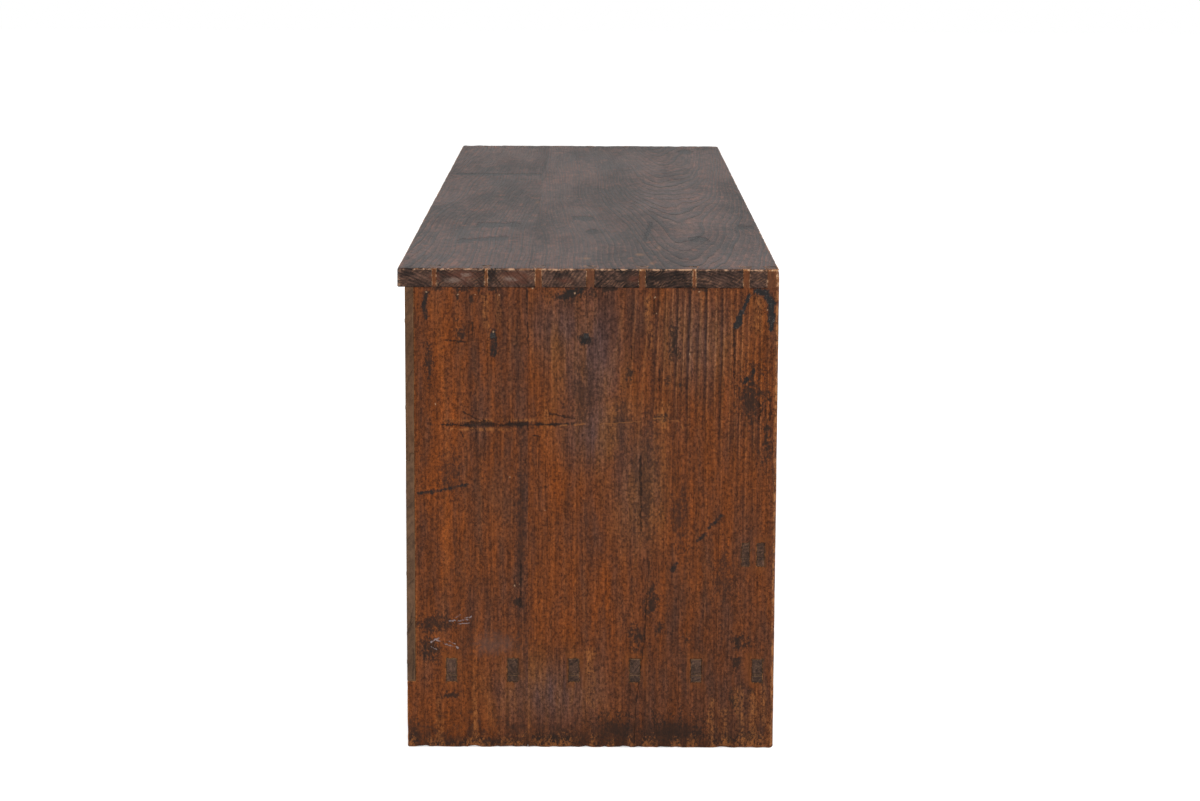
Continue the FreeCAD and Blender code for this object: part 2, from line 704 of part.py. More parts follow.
def drawer(name, centre):
    left = f"{centre} - drawer_width / 2"
    right = f"{centre} + drawer_width / 2"
    side_top = "bottom_top + drawer_side_height"
    posts, shanks = pull_posts(name + "_posts", centre)

    floor = between(name + "_floor",
                    (f"{left} + drawer_side_thickness - drawer_groove_depth",
                     "drawer_inside_front - drawer_groove_depth", "bottom_top + drawer_groove_height"),
                    (f"{right} - drawer_side_thickness + drawer_groove_depth",
                     "drawer_rear", "drawer_floor"))
    sides = {"left": (left, f"{left} + drawer_side_thickness"),
             "right": (f"{right} - drawer_side_thickness", right)}
    planks = {side: between(f"{name}_{side}_plank", (low, "face + drawer_lip", "bottom_top"),
                            (high, "drawer_rear", side_top))
              for side, (low, high) in sides.items()}
    front = between(name + "_face", (left, "face", "bottom_top"),
                    (right, "drawer_inside_front", "rail_level - drawer_top_gap"))
    node(name + "_front", cut(name + "_front_cut", front, list(planks.values()) + [floor] + shanks))

    # Finger joints at the rear corners, shared out over the height of the back
    finger = f"(({side_top}) - (drawer_floor)) / {finger_count}"
    back = between(name + "_rear", (left, "drawer_back_face", "drawer_floor"),
                   (right, "drawer_rear", side_top))
    side_gaps = {"left": [], "right": []}
    back_gaps = []
    for side, (low, high) in sides.items():
        for index in range(finger_count):
            gap = between(f"{name}_{side}_finger_{index + 1}",
                          (low, "drawer_back_face", f"drawer_floor + {index} * {finger}"),
                          (high, "drawer_rear", f"drawer_floor + {index + 1} * {finger}"))
            (side_gaps[side] if index % 2 else back_gaps).append(gap)
    for side, plank in planks.items():
        node(f"{name}_{side}_side", cut(f"{name}_{side}_cut", plank, [floor] + side_gaps[side]))
    node(name + "_back", cut(name + "_back_cut", back, back_gaps))
    node(name + "_bottom", floor)
    node(name + "_pull_posts", posts)
    node(name + "_bail", bail(name + "_bail_body", centre))


def door(name, left, track, cup_side):
    # Frame and two panels, with tongues above and below that run in the tracks
    near = f"{track} - door_thickness / 2"
    far = f"{track} + door_thickness / 2"
    right = f"{left} + door_width"
    inner_left = f"{left} + stile_width"
    inner_right = f"{right} - stile_width"
    centre = f"{left} + door_width / 2"
    muntin_left = f"{centre} - muntin_width / 2"
    muntin_right = f"{centre} + muntin_width / 2"
    tongue_near = f"{track} - door_tongue / 2"
    tongue_far = f"{track} + door_tongue / 2"
    tenon_near = f"{track} - door_tenon_thickness / 2"
    tenon_far = f"{track} + door_tenon_thickness / 2"

    def framed(label, low_x, high_x, low_z, high_z, with_foot, with_head):
        pieces = [between(label + "_bar", (low_x, near, low_z), (high_x, far, high_z))]
        if with_foot:
            pieces.append(between(label + "_foot", (low_x, tongue_near, "door_foot"),
                                  (high_x, tongue_far, "door_low")))
        if with_head:
            pieces.append(between(label + "_head", (low_x, tongue_near, "door_high"),
                                  (high_x, tongue_far, "door_head")))
        return pieces

    def panel(label, low_x, high_x, room):
        return between(label, (f"{low_x} - panel_inset - {room}", f"{track} - panel_thickness / 2",
                               f"panel_low - panel_inset - {room}"),
                       (f"{high_x} + panel_inset + {room}", f"{track} + panel_thickness / 2",
                        f"panel_high + panel_inset + {room}"))
    fields = {"left": (inner_left, muntin_left), "right": (muntin_right, inner_right)}
    grooves = [panel(f"{name}_{side}_groove", low, high, "panel_room")
               for side, (low, high) in fields.items()]

    # Finger cup let into the outer stile
    cup_x = f"{left} + stile_width / 2" if cup_side == "left" else f"{right} - stile_width / 2"
    cup_spot = (cup_x, near, "door_middle")
    flange = rod(name + "_cup_flange", cup_spot, round_to_back, "cup_flange", "cup_rim")
    barrel = rod(name + "_cup_barrel", cup_spot, round_to_back, "cup_bore", "cup_depth")
    hollow = rod(name + "_cup_hollow", cup_spot, round_to_back,
                 "cup_bore - 2 * cup_wall", "cup_depth - cup_wall")
    cup = fuse(name + "_cup_outside", [flange, barrel])

    rails = {"bottom": ("door_low", "panel_low"), "top": ("panel_high", "door_high")}
    rail_tenons = []
    for rail, (low, high) in rails.items():
        for side, x_low, x_high in (("left", f"{inner_left} - door_tenon_length", inner_left),
                                    ("right", inner_right, f"{inner_right} + door_tenon_length")):
            rail_tenons.append(between(f"{name}_{rail}_{side}_tenon",
                                       (x_low, tenon_near, f"({low}) + door_tenon_shoulder"),
                                       (x_high, tenon_far, f"({high}) - door_tenon_shoulder")))
    muntin_tenons = []
    for rail, low, high in (("bottom", "panel_low - muntin_tenon_length", "panel_low"),
                            ("top", "panel_high", "panel_high + muntin_tenon_length")):
        muntin_tenons.append(between(f"{name}_muntin_{rail}_tenon",
                                     (f"{muntin_left} + door_tenon_shoulder", tenon_near, low),
                                     (f"{muntin_right} - door_tenon_shoulder", tenon_far, high)))
    for side, low, high in (("left", left, inner_left), ("right", inner_right, right)):
        label = f"{name}_{side}_stile"
        pieces = framed(label, low, high, "door_low", "door_high", True, True)
        tools = grooves + rail_tenons + ([cup] if side == cup_side else [])
        node(label, cut(label + "_cut", fuse(label + "_whole", pieces), tools))
    for index, (rail, (low, high)) in enumerate(rails.items()):
        label = f"{name}_{rail}_rail"
        pieces = framed(label, inner_left, inner_right, low, high, rail == "bottom", rail == "top")
        whole = fuse(label + "_whole", pieces + rail_tenons[2 * index:2 * index + 2])
        node(label, cut(label + "_cut", whole, grooves + [muntin_tenons[index]]))
    bar = framed(name + "_muntin", muntin_left, muntin_right, "panel_low", "panel_high", False, False)
    muntin = fuse(name + "_muntin_whole", bar + muntin_tenons)
    node(name + "_muntin", cut(name + "_muntin_cut", muntin, grooves))
    for side, (low, high) in fields.items():
        node(f"{name}_{side}_panel", panel(f"{name}_{side}_field", low, high, "0"))
    node(name + "_finger_cup", cut(name + "_cup", cup, [hollow]))


case()
drawer("left_drawer", "-drawer_pitch")
drawer("middle_drawer", "0")
drawer("right_drawer", "drawer_pitch")
door("left_door", "left_inner + door_end_gap", "rear_track", "left")
door("right_door", "right_inner - door_end_gap - door_width", "front_track", "right")
document.recompute()

for item in document.Objects:
    if "Invalid" in item.State or "Error" in item.State:
        raise RuntimeError(f"{item.Label} did not build")
for item in nodes:
    if item.Shape.isNull() or not item.Shape.isValid() or not item.Shape.Solids:
        raise RuntimeError(f"{item.Label} is not a sound solid")

os.makedirs("parts", exist_ok=True)
for item in nodes:
    item.Shape.exportStep(f"parts/{item.Label}.step")
    print(item.Label, len(item.Shape.Solids), round(item.Shape.Volume))
print(len(nodes), "nodes")
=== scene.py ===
import json
import math
import random
import bmesh
import bpy
from mathutils import Matrix, Vector, noise


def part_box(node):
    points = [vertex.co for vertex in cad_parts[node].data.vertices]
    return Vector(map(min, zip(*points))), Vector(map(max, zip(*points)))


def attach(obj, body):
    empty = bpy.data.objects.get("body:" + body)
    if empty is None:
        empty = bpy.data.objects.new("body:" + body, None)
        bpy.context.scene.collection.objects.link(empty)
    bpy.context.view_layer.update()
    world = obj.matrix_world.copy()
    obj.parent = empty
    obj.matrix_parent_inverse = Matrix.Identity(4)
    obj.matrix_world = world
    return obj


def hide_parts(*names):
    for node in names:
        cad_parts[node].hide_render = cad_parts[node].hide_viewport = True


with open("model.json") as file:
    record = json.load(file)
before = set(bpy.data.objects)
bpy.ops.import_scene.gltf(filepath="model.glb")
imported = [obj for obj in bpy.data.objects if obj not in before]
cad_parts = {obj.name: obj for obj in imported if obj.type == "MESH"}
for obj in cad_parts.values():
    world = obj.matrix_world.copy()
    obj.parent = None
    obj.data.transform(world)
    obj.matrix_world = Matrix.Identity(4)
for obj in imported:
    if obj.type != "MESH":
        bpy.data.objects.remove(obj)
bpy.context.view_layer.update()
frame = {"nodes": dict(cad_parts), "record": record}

record = frame["record"]
slotOf = {row["node"]: row["material_slot"] for row in record["subparts"]}
bodyOf = {node: body for body, nodes in record["behaviour"]["bodies"].items() for node in nodes}
millimetre = 0.001
print("frame loaded:", len(frame["nodes"]), "pieces")


# camera, floor and light
cameraSet = {
    "place": (-3.6712, 0.0008, 0.8970),
    "yaw": -0.0026,
    "pitch": 0.1587,
    "roll": 0.0043,
    "lens": 84.6,
    "sensor": 36.0,
    "shiftY": -0.04,
}


def makeCamera():
    data = bpy.data.cameras.new("camera")
    data.sensor_fit = "HORIZONTAL"
    data.sensor_width = cameraSet["sensor"]
    data.lens = cameraSet["lens"]
    data.shift_y = cameraSet["shiftY"]
    yaw, pitch, roll = cameraSet["yaw"], cameraSet["pitch"], cameraSet["roll"]
    look = Vector((math.cos(pitch) * math.cos(yaw), math.cos(pitch) * math.sin(yaw), -math.sin(pitch)))
    level = Vector((math.sin(yaw), -math.cos(yaw), 0))
    right = math.cos(roll) * level + math.sin(roll) * level.cross(look)
    up = right.cross(look)
    turn = Matrix((right, up, -look)).transposed().to_4x4()
    camera = bpy.data.objects.new("camera", data)
    camera.matrix_world = Matrix.Translation(cameraSet["place"]) @ turn
    bpy.context.scene.collection.objects.link(camera)
    bpy.context.scene.camera = camera


# small helpers for shader nodes: they add to the tree that was started last
def startTree(owner):
    global tree
    owner.use_nodes = True
    tree = owner.node_tree
    tree.nodes.clear()


def startMaterial(name):
    material = bpy.data.materials.new(name)
    startTree(material)
    return material


def join(value, socket):
    if isinstance(value, bpy.types.NodeSocket):
        tree.links.new(value, socket)
    else:
        socket.default_value = value


def calc(operation, *values, clamp=False):
    node = tree.nodes.new("ShaderNodeMath")
    node.operation = operation
    node.use_clamp = clamp
    for value, socket in zip(values, node.inputs):
        join(value, socket)
    return node.outputs[0]


def times(first, second):
    return calc("MULTIPLY", first, second)


def timesPlus(value, factor, plus):
    return calc("MULTIPLY_ADD", value, factor, plus)


def torn(noisy, amount, gap):
    # moves an edge in and out by a noise
    return timesPlus(calc("SUBTRACT", noisy, 0.5), amount, gap)


def calcVector(operation, *values):
    node = tree.nodes.new("ShaderNodeVectorMath")
    node.operation = operation
    sockets = [node.inputs["Vector"], node.inputs["Scale"]] if operation == "SCALE" else node.inputs
    for value, socket in zip(values, sockets):
        join(value, socket)
    return node.outputs["Value" if operation in ("LENGTH", "DOT_PRODUCT") else "Vector"]


def ramp(value, low, high, start=0.0, end=1.0):
    node = tree.nodes.new("ShaderNodeMapRange")
    node.interpolation_type = "SMOOTHSTEP"
    node.clamp = False
    parts = {"Value": value, "From Min": low, "From Max": high, "To Min": start, "To Max": end}
    for name, part in parts.items():
        join(part, node.inputs[name])
    return node.outputs[0]


def fade(value, low, high, most=1.0):
    return ramp(value, low, high, most, 0.0)


def swing(value, span, middle, amount):
    # from middle less amount to middle plus amount
    return ramp(value, *span, middle - amount, middle + amount)


def cloud(place, stretch, detail=2.0, rough=0.5, colour=False):
    node = tree.nodes.new("ShaderNodeTexNoise")
    join(calcVector("MULTIPLY", place, stretch), node.inputs["Vector"])
    node.inputs["Scale"].default_value = 1.0
    node.inputs["Detail"].default_value = detail
    node.inputs["Roughness"].default_value = rough
    return node.outputs["Color" if colour else "Fac"]


def mixTone(factor, first, second):
    node = tree.nodes.new("ShaderNodeMix")
    node.data_type = "RGBA"
    for part, index in ((factor, 0), (first, 6), (second, 7)):
        join(part, node.inputs[index])
    return node.outputs[2]


def readAttribute(name):
    node = tree.nodes.new("ShaderNodeAttribute")
    node.attribute_name = name
    return node.outputs["Vector"]


def splitAxes(place):
    node = tree.nodes.new("ShaderNodeSeparateXYZ")
    join(place, node.inputs[0])
    return node.outputs[0], node.outputs[1], node.outputs[2]


def tone(red, green, blue):
    # a colour as it looks on screen, 0 to 255
    def bend(part):
        part = part / 255
        return part / 12.92 if part <= 0.04045 else ((part + 0.055) / 1.055) ** 2.4
    return bend(red), bend(green), bend(blue), 1.0


def finishMaterial(colour, roughness, normal, **sockets):
    shader = tree.nodes.new("ShaderNodeBsdfPrincipled")
    join(colour, shader.inputs["Base Color"])
    join(roughness, shader.inputs["Roughness"])
    join(normal, shader.inputs["Normal"])
    for name, value in sockets.items():
        shader.inputs[name].default_value = value
    output = tree.nodes.new("ShaderNodeOutputMaterial")
    tree.links.new(shader.outputs[0], output.inputs["Surface"])


def bumpFrom(height, strength, distance):
    node = tree.nodes.new("ShaderNodeBump")
    node.inputs["Strength"].default_value = strength
    node.inputs["Distance"].default_value = distance
    join(height, node.inputs["Height"])
    return node.outputs[0]


stageSet = {
    "floorSize": 16.0,
    "floorTone": (0.9, 0.9, 0.9, 1.0),
    "floorLift": 0.5,
    "skyTone": (1.0, 1.0, 1.0, 1.0),
    "skyLight": 0.62,
    "lampSize": 2.6,
    "lamps": [
        {"name": "keyLamp", "place": (-3.2, -1.6, 3.0), "aim": (0.0, 0.0, 0.2), "power": 62.0},
        {"name": "fillLamp", "place": (-2.6, 2.6, 2.2), "aim": (0.0, 0.0, 0.25), "power": 30.0},
        {"name": "frontLamp", "place": (0.6, -3.6, 2.4), "aim": (0.0, 0.0, 0.25), "power": 55.0},
        {"name": "backLamp", "place": (1.6, 3.4, 2.6), "aim": (0.0, 0.0, 0.25), "power": 45.0},
    ],
}


def seenPlainly():
    # one for the rays that show the background
    path = tree.nodes.new("ShaderNodeLightPath")
    rays = calc("ADD", path.outputs["Is Camera Ray"], path.outputs["Is Glossy Ray"])
    return calc("ADD", rays, path.outputs["Is Transmission Ray"], clamp=True)


def makeFloor():
    bm = bmesh.new()
    bmesh.ops.create_grid(bm, x_segments=1, y_segments=1, size=stageSet["floorSize"])
    mesh = bpy.data.meshes.new("floor")
    bm.to_mesh(mesh)
    bm.free()
    floor = bpy.data.objects.new("floor", mesh)
    bpy.context.scene.collection.objects.link(floor)
    material = startMaterial("floorPaper")
    base = tree.nodes.new("ShaderNodeBsdfDiffuse")
    base.inputs["Color"].default_value = stageSet["floorTone"]
    lift = tree.nodes.new("ShaderNodeEmission")
    tree.links.new(times(seenPlainly(), stageSet["floorLift"]), lift.inputs["Strength"])
    both = tree.nodes.new("ShaderNodeAddShader")
    tree.links.new(base.outputs[0], both.inputs[0])
    tree.links.new(lift.outputs[0], both.inputs[1])
    output = tree.nodes.new("ShaderNodeOutputMaterial")
    tree.links.new(both.outputs[0], output.inputs["Surface"])
    mesh.materials.append(material)


def makeLight():
    world = bpy.data.worlds.new("studio")
    bpy.context.scene.world = world
    startTree(world)
    background = tree.nodes.new("ShaderNodeBackground")
    strength = ramp(seenPlainly(), 0.0, 1.0, stageSet["skyLight"], 1.0)
    tree.links.new(strength, background.inputs["Strength"])
    background.inputs["Color"].default_value = stageSet["skyTone"]
    output = tree.nodes.new("ShaderNodeOutputWorld")
    tree.links.new(background.outputs[0], output.inputs["Surface"])

    for lamp in stageSet["lamps"]:
        data = bpy.data.lights.new(lamp["name"], "AREA")
        data.shape = "SQUARE"
        data.size = stageSet["lampSize"]
        data.energy = lamp["power"]
        light = bpy.data.objects.new(lamp["name"], data)
        place = Vector(lamp["place"])
        aim = (Vector(lamp["aim"]) - place).to_track_quat("-Z", "Y")
        light.matrix_world = Matrix.LocRotScale(place, aim, None)
        bpy.context.scene.collection.objects.link(light)
    bpy.context.scene.view_settings.view_transform = "Standard"


makeCamera()
makeFloor()
makeLight()
print("stage set")


# wood: growth rings round a pith line, fibres along it, rubbed arrises, frayed lips and sawn ends; the lips
# are partly wear and partly painted highlight, and a painted shadow line on the back boards
grainSet = {
    "wanderScale": (60.0, 60.0, 6.0), "paceScale": (22.0, 22.0, 0.6), "paceRings": 3.0,
    "broadScale": (12.0, 12.0, 3.0), "fleckShare": 0.65,
    "lateRise": (0.4, 0.88), "lateFall": (0.9, 1.0), "lateLeast": 0.25,
    "earlyRise": (0.02, 0.1), "earlyFall": (0.12, 0.3),
    "rubTorn": 6.0, "rubCore": 0.2,
    "downward": -0.15, "lipTurn": (0.86, 0.985), "lipFray": (0.46, 0.56), "endTurn": (0.75, 0.95),
}


def woodBase(look):
    spot = tree.nodes.new("ShaderNodeTexCoord")
    place, normal = spot.outputs["Object"], spot.outputs["Normal"]
    grain = readAttribute("grain")
    drift = cloud(grain, look["driftScale"], colour=True)
    bent = calcVector("MULTIPLY_ADD", drift, (look["drift"], look["drift"], 0.0), grain)
    wander = cloud(grain, grainSet["wanderScale"], detail=3.0, rough=0.6, colour=True)
    bent = calcVector("MULTIPLY_ADD", wander, (look["wander"], look["wander"], 0.0), bent)
    reach = calcVector("LENGTH", calcVector("MULTIPLY", bent, (1.0, 1.0, 0.0)))
    pace = cloud(bent, grainSet["paceScale"], detail=1.0)
    rings = timesPlus(reach, 1.0 / look["ringGap"], times(pace, grainSet["paceRings"]))
    inRing = calc("FRACT", rings)
    late = times(ramp(inRing, *grainSet["lateRise"]), fade(inRing, *grainSet["lateFall"]))
    early = times(ramp(inRing, *grainSet["earlyRise"]), fade(inRing, *grainSet["earlyFall"]))
    each = tree.nodes.new("ShaderNodeTexWhiteNoise")
    each.noise_dimensions = "1D"
    tree.links.new(calc("FLOOR", rings), each.inputs["W"])
    least = grainSet["lateLeast"]
    late = times(late, timesPlus(each.outputs["Value"], 1.0 - least, least))
    strands = cloud(grain, look["strandScale"], detail=4.0, rough=0.66)
    crumbs = cloud(place, look["crumbScale"], detail=4.0, rough=0.75)
    mottle = cloud(grain, look["mottleScale"], detail=5.0, rough=0.62)
    blots = cloud(place, look["blotScale"], detail=6.0, rough=0.72)
    flecks = cloud(place, look["fleckScale"], detail=5.0, rough=0.75)
    broad = cloud(grain, grainSet["broadScale"], detail=3.0, rough=0.6)
    share = grainSet["fleckShare"]
    fray = timesPlus(flecks, share, times(crumbs, 1.0 - share))

    # of the distances to the board's nearest sides, the middle one is the distance to an arris
    low, high = readAttribute("lowRoom"), readAttribute("highRoom")
    across, along, upward = splitAxes(calcVector("MINIMUM", low, high))
    most = calc("MAXIMUM", calc("MAXIMUM", across, along), upward)
    least = calc("MINIMUM", calc("MINIMUM", across, along), upward)
    total = calc("ADD", calc("ADD", across, along), upward)
    arrisRoom = calc("SUBTRACT", calc("SUBTRACT", total, most), least)
    ragged = torn(blots, look["rubReach"] * grainSet["rubTorn"], arrisRoom)
    rub = fade(ragged, look["rubReach"] * grainSet["rubCore"], look["rubReach"])

    # the lip: paler colour on rounded arrises that do not face down, partly wear and partly painted highlight
    facingDown = calc("LESS_THAN", splitAxes(normal)[2], grainSet["downward"])
    turnX, turnY, turnZ = splitAxes(calcVector("ABSOLUTE", normal))
    squarest = calc("MAXIMUM", calc("MAXIMUM", turnX, turnY), turnZ)
    frayed = ramp(fray, *grainSet["lipFray"], look["lipLow"], 1.0)
    arrisWearAndPaintedLight = times(fade(squarest, *grainSet["lipTurn"]), frayed)
    arrisWearAndPaintedLight = times(arrisWearAndPaintedLight, calc("SUBTRACT", 1.0, facingDown))
    facing = calcVector("DOT_PRODUCT", normal, readAttribute("fibreWay"))
    endGrain = ramp(calc("ABSOLUTE", facing), *grainSet["endTurn"])
    return {"place": place, "late": late, "early": early, "strands": strands, "crumbs": crumbs,
            "mottle": mottle, "blots": blots, "fray": fray, "broad": broad, "rub": rub, "arrisWearAndPaintedLight": arrisWearAndPaintedLight,
            "endGrain": endGrain}


stainSet = {
    "broadShare": 0.55, "hueSpan": (0.36, 0.64), "noiseSpan": (0.28, 0.72), "grimeRise": 0.12,
    "glintSpan": (0.62, 0.74), "endRings": 0.7,
    "sawPitch": (210.0, 230.0, 300.0), "sawWander": 6.0, "sawTooth": (0.5, 0.8), "sawFray": (0.48, 0.58),
    "sawMost": 0.5,
}


def woodColour(look, wood, ringShow):
    share, span = stainSet["broadShare"], stainSet["noiseSpan"]
    hue = timesPlus(wood["broad"], share, times(wood["mottle"], 1.0 - share))
    colour = mixTone(ramp(hue, *stainSet["hueSpan"]), tone(*look["warm"]), tone(*look["dull"]))
    colour = mixTone(times(wood["late"], ringShow), colour, tone(*look["ring"]))
    # a pale line after each late ring: partly worn early wood and partly painted highlight on the raised grain
    pale = times(wood["early"], times(ringShow, look["paleLine"]))
    colour = mixTone(pale, colour, tone(*look["rubbedAndHighlight"]))
    shade = swing(wood["strands"], span, 1.0, look["strandShade"])
    grit = swing(wood["crumbs"], span, 1.0, look["grit"])
    colour = calcVector("SCALE", colour, times(shade, grit))
    sootFrom = look["grimeFrom"]
    soot = ramp(wood["blots"], sootFrom, sootFrom + stainSet["grimeRise"], 0.0, look["grime"])
    colour = mixTone(soot, colour, tone(*look["soot"]))
    # painted highlight specks: crumbs lifted toward the rubbed tone
    glint = ramp(wood["crumbs"], *stainSet["glintSpan"], 0.0, look["glint"])
    colour = mixTone(glint, colour, tone(*look["rubbedAndHighlight"]))

    endRings = times(wood["late"], stainSet["endRings"])
    ends = mixTone(endRings, tone(*look["endWood"]), tone(*look["endRing"]))
    stain = swing(wood["blots"], stainSet["hueSpan"], 1.0, -look["endStain"])
    ends = calcVector("SCALE", ends, times(stain, grit))
    cut = calcVector("DOT_PRODUCT", wood["place"], stainSet["sawPitch"])
    saw = calc("FRACT", timesPlus(wood["mottle"], stainSet["sawWander"], cut))
    frayed = ramp(wood["fray"], *stainSet["sawFray"], 0.0, stainSet["sawMost"])
    saw = times(ramp(saw, *stainSet["sawTooth"]), frayed)
    ends = mixTone(saw, ends, tone(*look["rubbedAndHighlight"]))
    whole = mixTone(wood["endGrain"], colour, ends)
    return calcVector("MULTIPLY", whole, readAttribute("boardTone"))


def rubAndEdgeLightColour(look, wood, colour):
    # rubbed arrises are wear; the lip laid over them is partly wear and partly painted highlight, or painted
    # shadow where its colour is dark
    colour = mixTone(times(wood["rub"], look["wear"]), colour, tone(*look["rubbedAndHighlight"]))
    return mixTone(times(wood["arrisWearAndPaintedLight"], look["wear"]), colour, tone(*look["arrisWearAndPaintedLight"]))


surfaceSet = {"crumbRelief": 0.9, "bump": 0.8, "rubMatt": 0.12}


def woodSurface(look, wood, colour, dents=None):
    height = timesPlus(wood["late"], look["ringRelief"], wood["strands"])
    height = timesPlus(wood["crumbs"], surfaceSet["crumbRelief"], height)
    if dents is not None:
        height = calc("SUBTRACT", height, dents)
    normal = bumpFrom(height, surfaceSet["bump"], look["relief"])
    gloss = swing(wood["broad"], stainSet["hueSpan"], look["rough"], look["sheen"])
    gloss = timesPlus(wood["rub"], surfaceSet["rubMatt"], gloss)
    finishMaterial(colour, gloss, normal, **{"Specular IOR Level": look["shine"]})


# marks: a streak is two ends and a half width, a patch is a centre and two half sizes, all in millimetres
def nearestStreak(place, streaks, axes):
    nearest = None
    for a1, b1, a2, b2, width in streaks:
        start, way = [0.0, 0.0, 0.0], [0.0, 0.0, 0.0]
        start[axes[0]], start[axes[1]] = a1 * millimetre, b1 * millimetre
        way[axes[0]], way[axes[1]] = (a2 - a1) * millimetre, (b2 - b1) * millimetre
        span = sum(part * part for part in way)
        offset = calcVector("SUBTRACT", place, start)
        share = calcVector("DOT_PRODUCT", offset, [part / span for part in way])
        share = calc("MINIMUM", calc("MAXIMUM", share, 0.0), 1.0)
        side = calcVector("SUBTRACT", offset, calcVector("SCALE", way, share))
        gap = times(calcVector("LENGTH", side), 1.0 / (width * millimetre))
        nearest = gap if nearest is None else calc("MINIMUM", nearest, gap)
    return nearest


def nearestPatch(place, patches, axes):
    nearest = None
    for a, b, wide, tall in patches:
        size, shift = [0.0, 0.0, 0.0], [0.0, 0.0, 0.0]
        for axis, middle, half in ((axes[0], a, wide), (axes[1], b, tall)):
            size[axis] = 1.0 / (half * millimetre)
            shift[axis] = -middle / half
        gap = calcVector("LENGTH", calcVector("MULTIPLY_ADD", place, size, shift))
        nearest = gap if nearest is None else calc("MINIMUM", nearest, gap)
    return nearest


def marked(wood, place, mark, axes):
    # how much of a mark there is: its edge is torn by a noise, and it fades over a span of its half size
    if "streaks" in mark:
        gap = nearestStreak(place, mark["streaks"], axes)
    else:
        gap = nearestPatch(place, mark["patches"], axes)
    edge = torn(wood[mark["noise"]], mark["torn"], gap)
    return fade(edge, *mark["fade"], mark["most"])


# the case's lip colour is partly wear and partly painted highlight on the rounded arrises
caseLook = {
    "warm": (106, 54, 20), "dull": (74, 46, 34), "ring": (38, 22, 16), "soot": (34, 24, 19),
    "endWood": (72, 50, 39), "endRing": (36, 26, 22), "rubbedAndHighlight": (142, 88, 48), "arrisWearAndPaintedLight": (164, 108, 62),
    "strandScale": (420.0, 420.0, 18.0), "mottleScale": (70.0, 70.0, 14.0), "blotScale": (60.0, 60.0, 36.0),
    "crumbScale": (430.0, 430.0, 340.0), "fleckScale": (130.0, 130.0, 95.0),
    "driftScale": (5.0, 5.0, 1.3), "drift": 0.03, "wander": 0.0036, "ringGap": 0.0068, "wear": 0.85,
    "strandShade": 0.34, "grit": 0.72, "glint": 0.5, "grimeFrom": 0.61, "grime": 0.55, "lipLow": 0.05,
    "rubReach": 0.0014, "ringRelief": 0.8, "relief": 0.0011, "rough": 0.5, "sheen": 0.06, "shine": 0.1,
    "endStain": 0.7, "paleLine": 0.4,
}

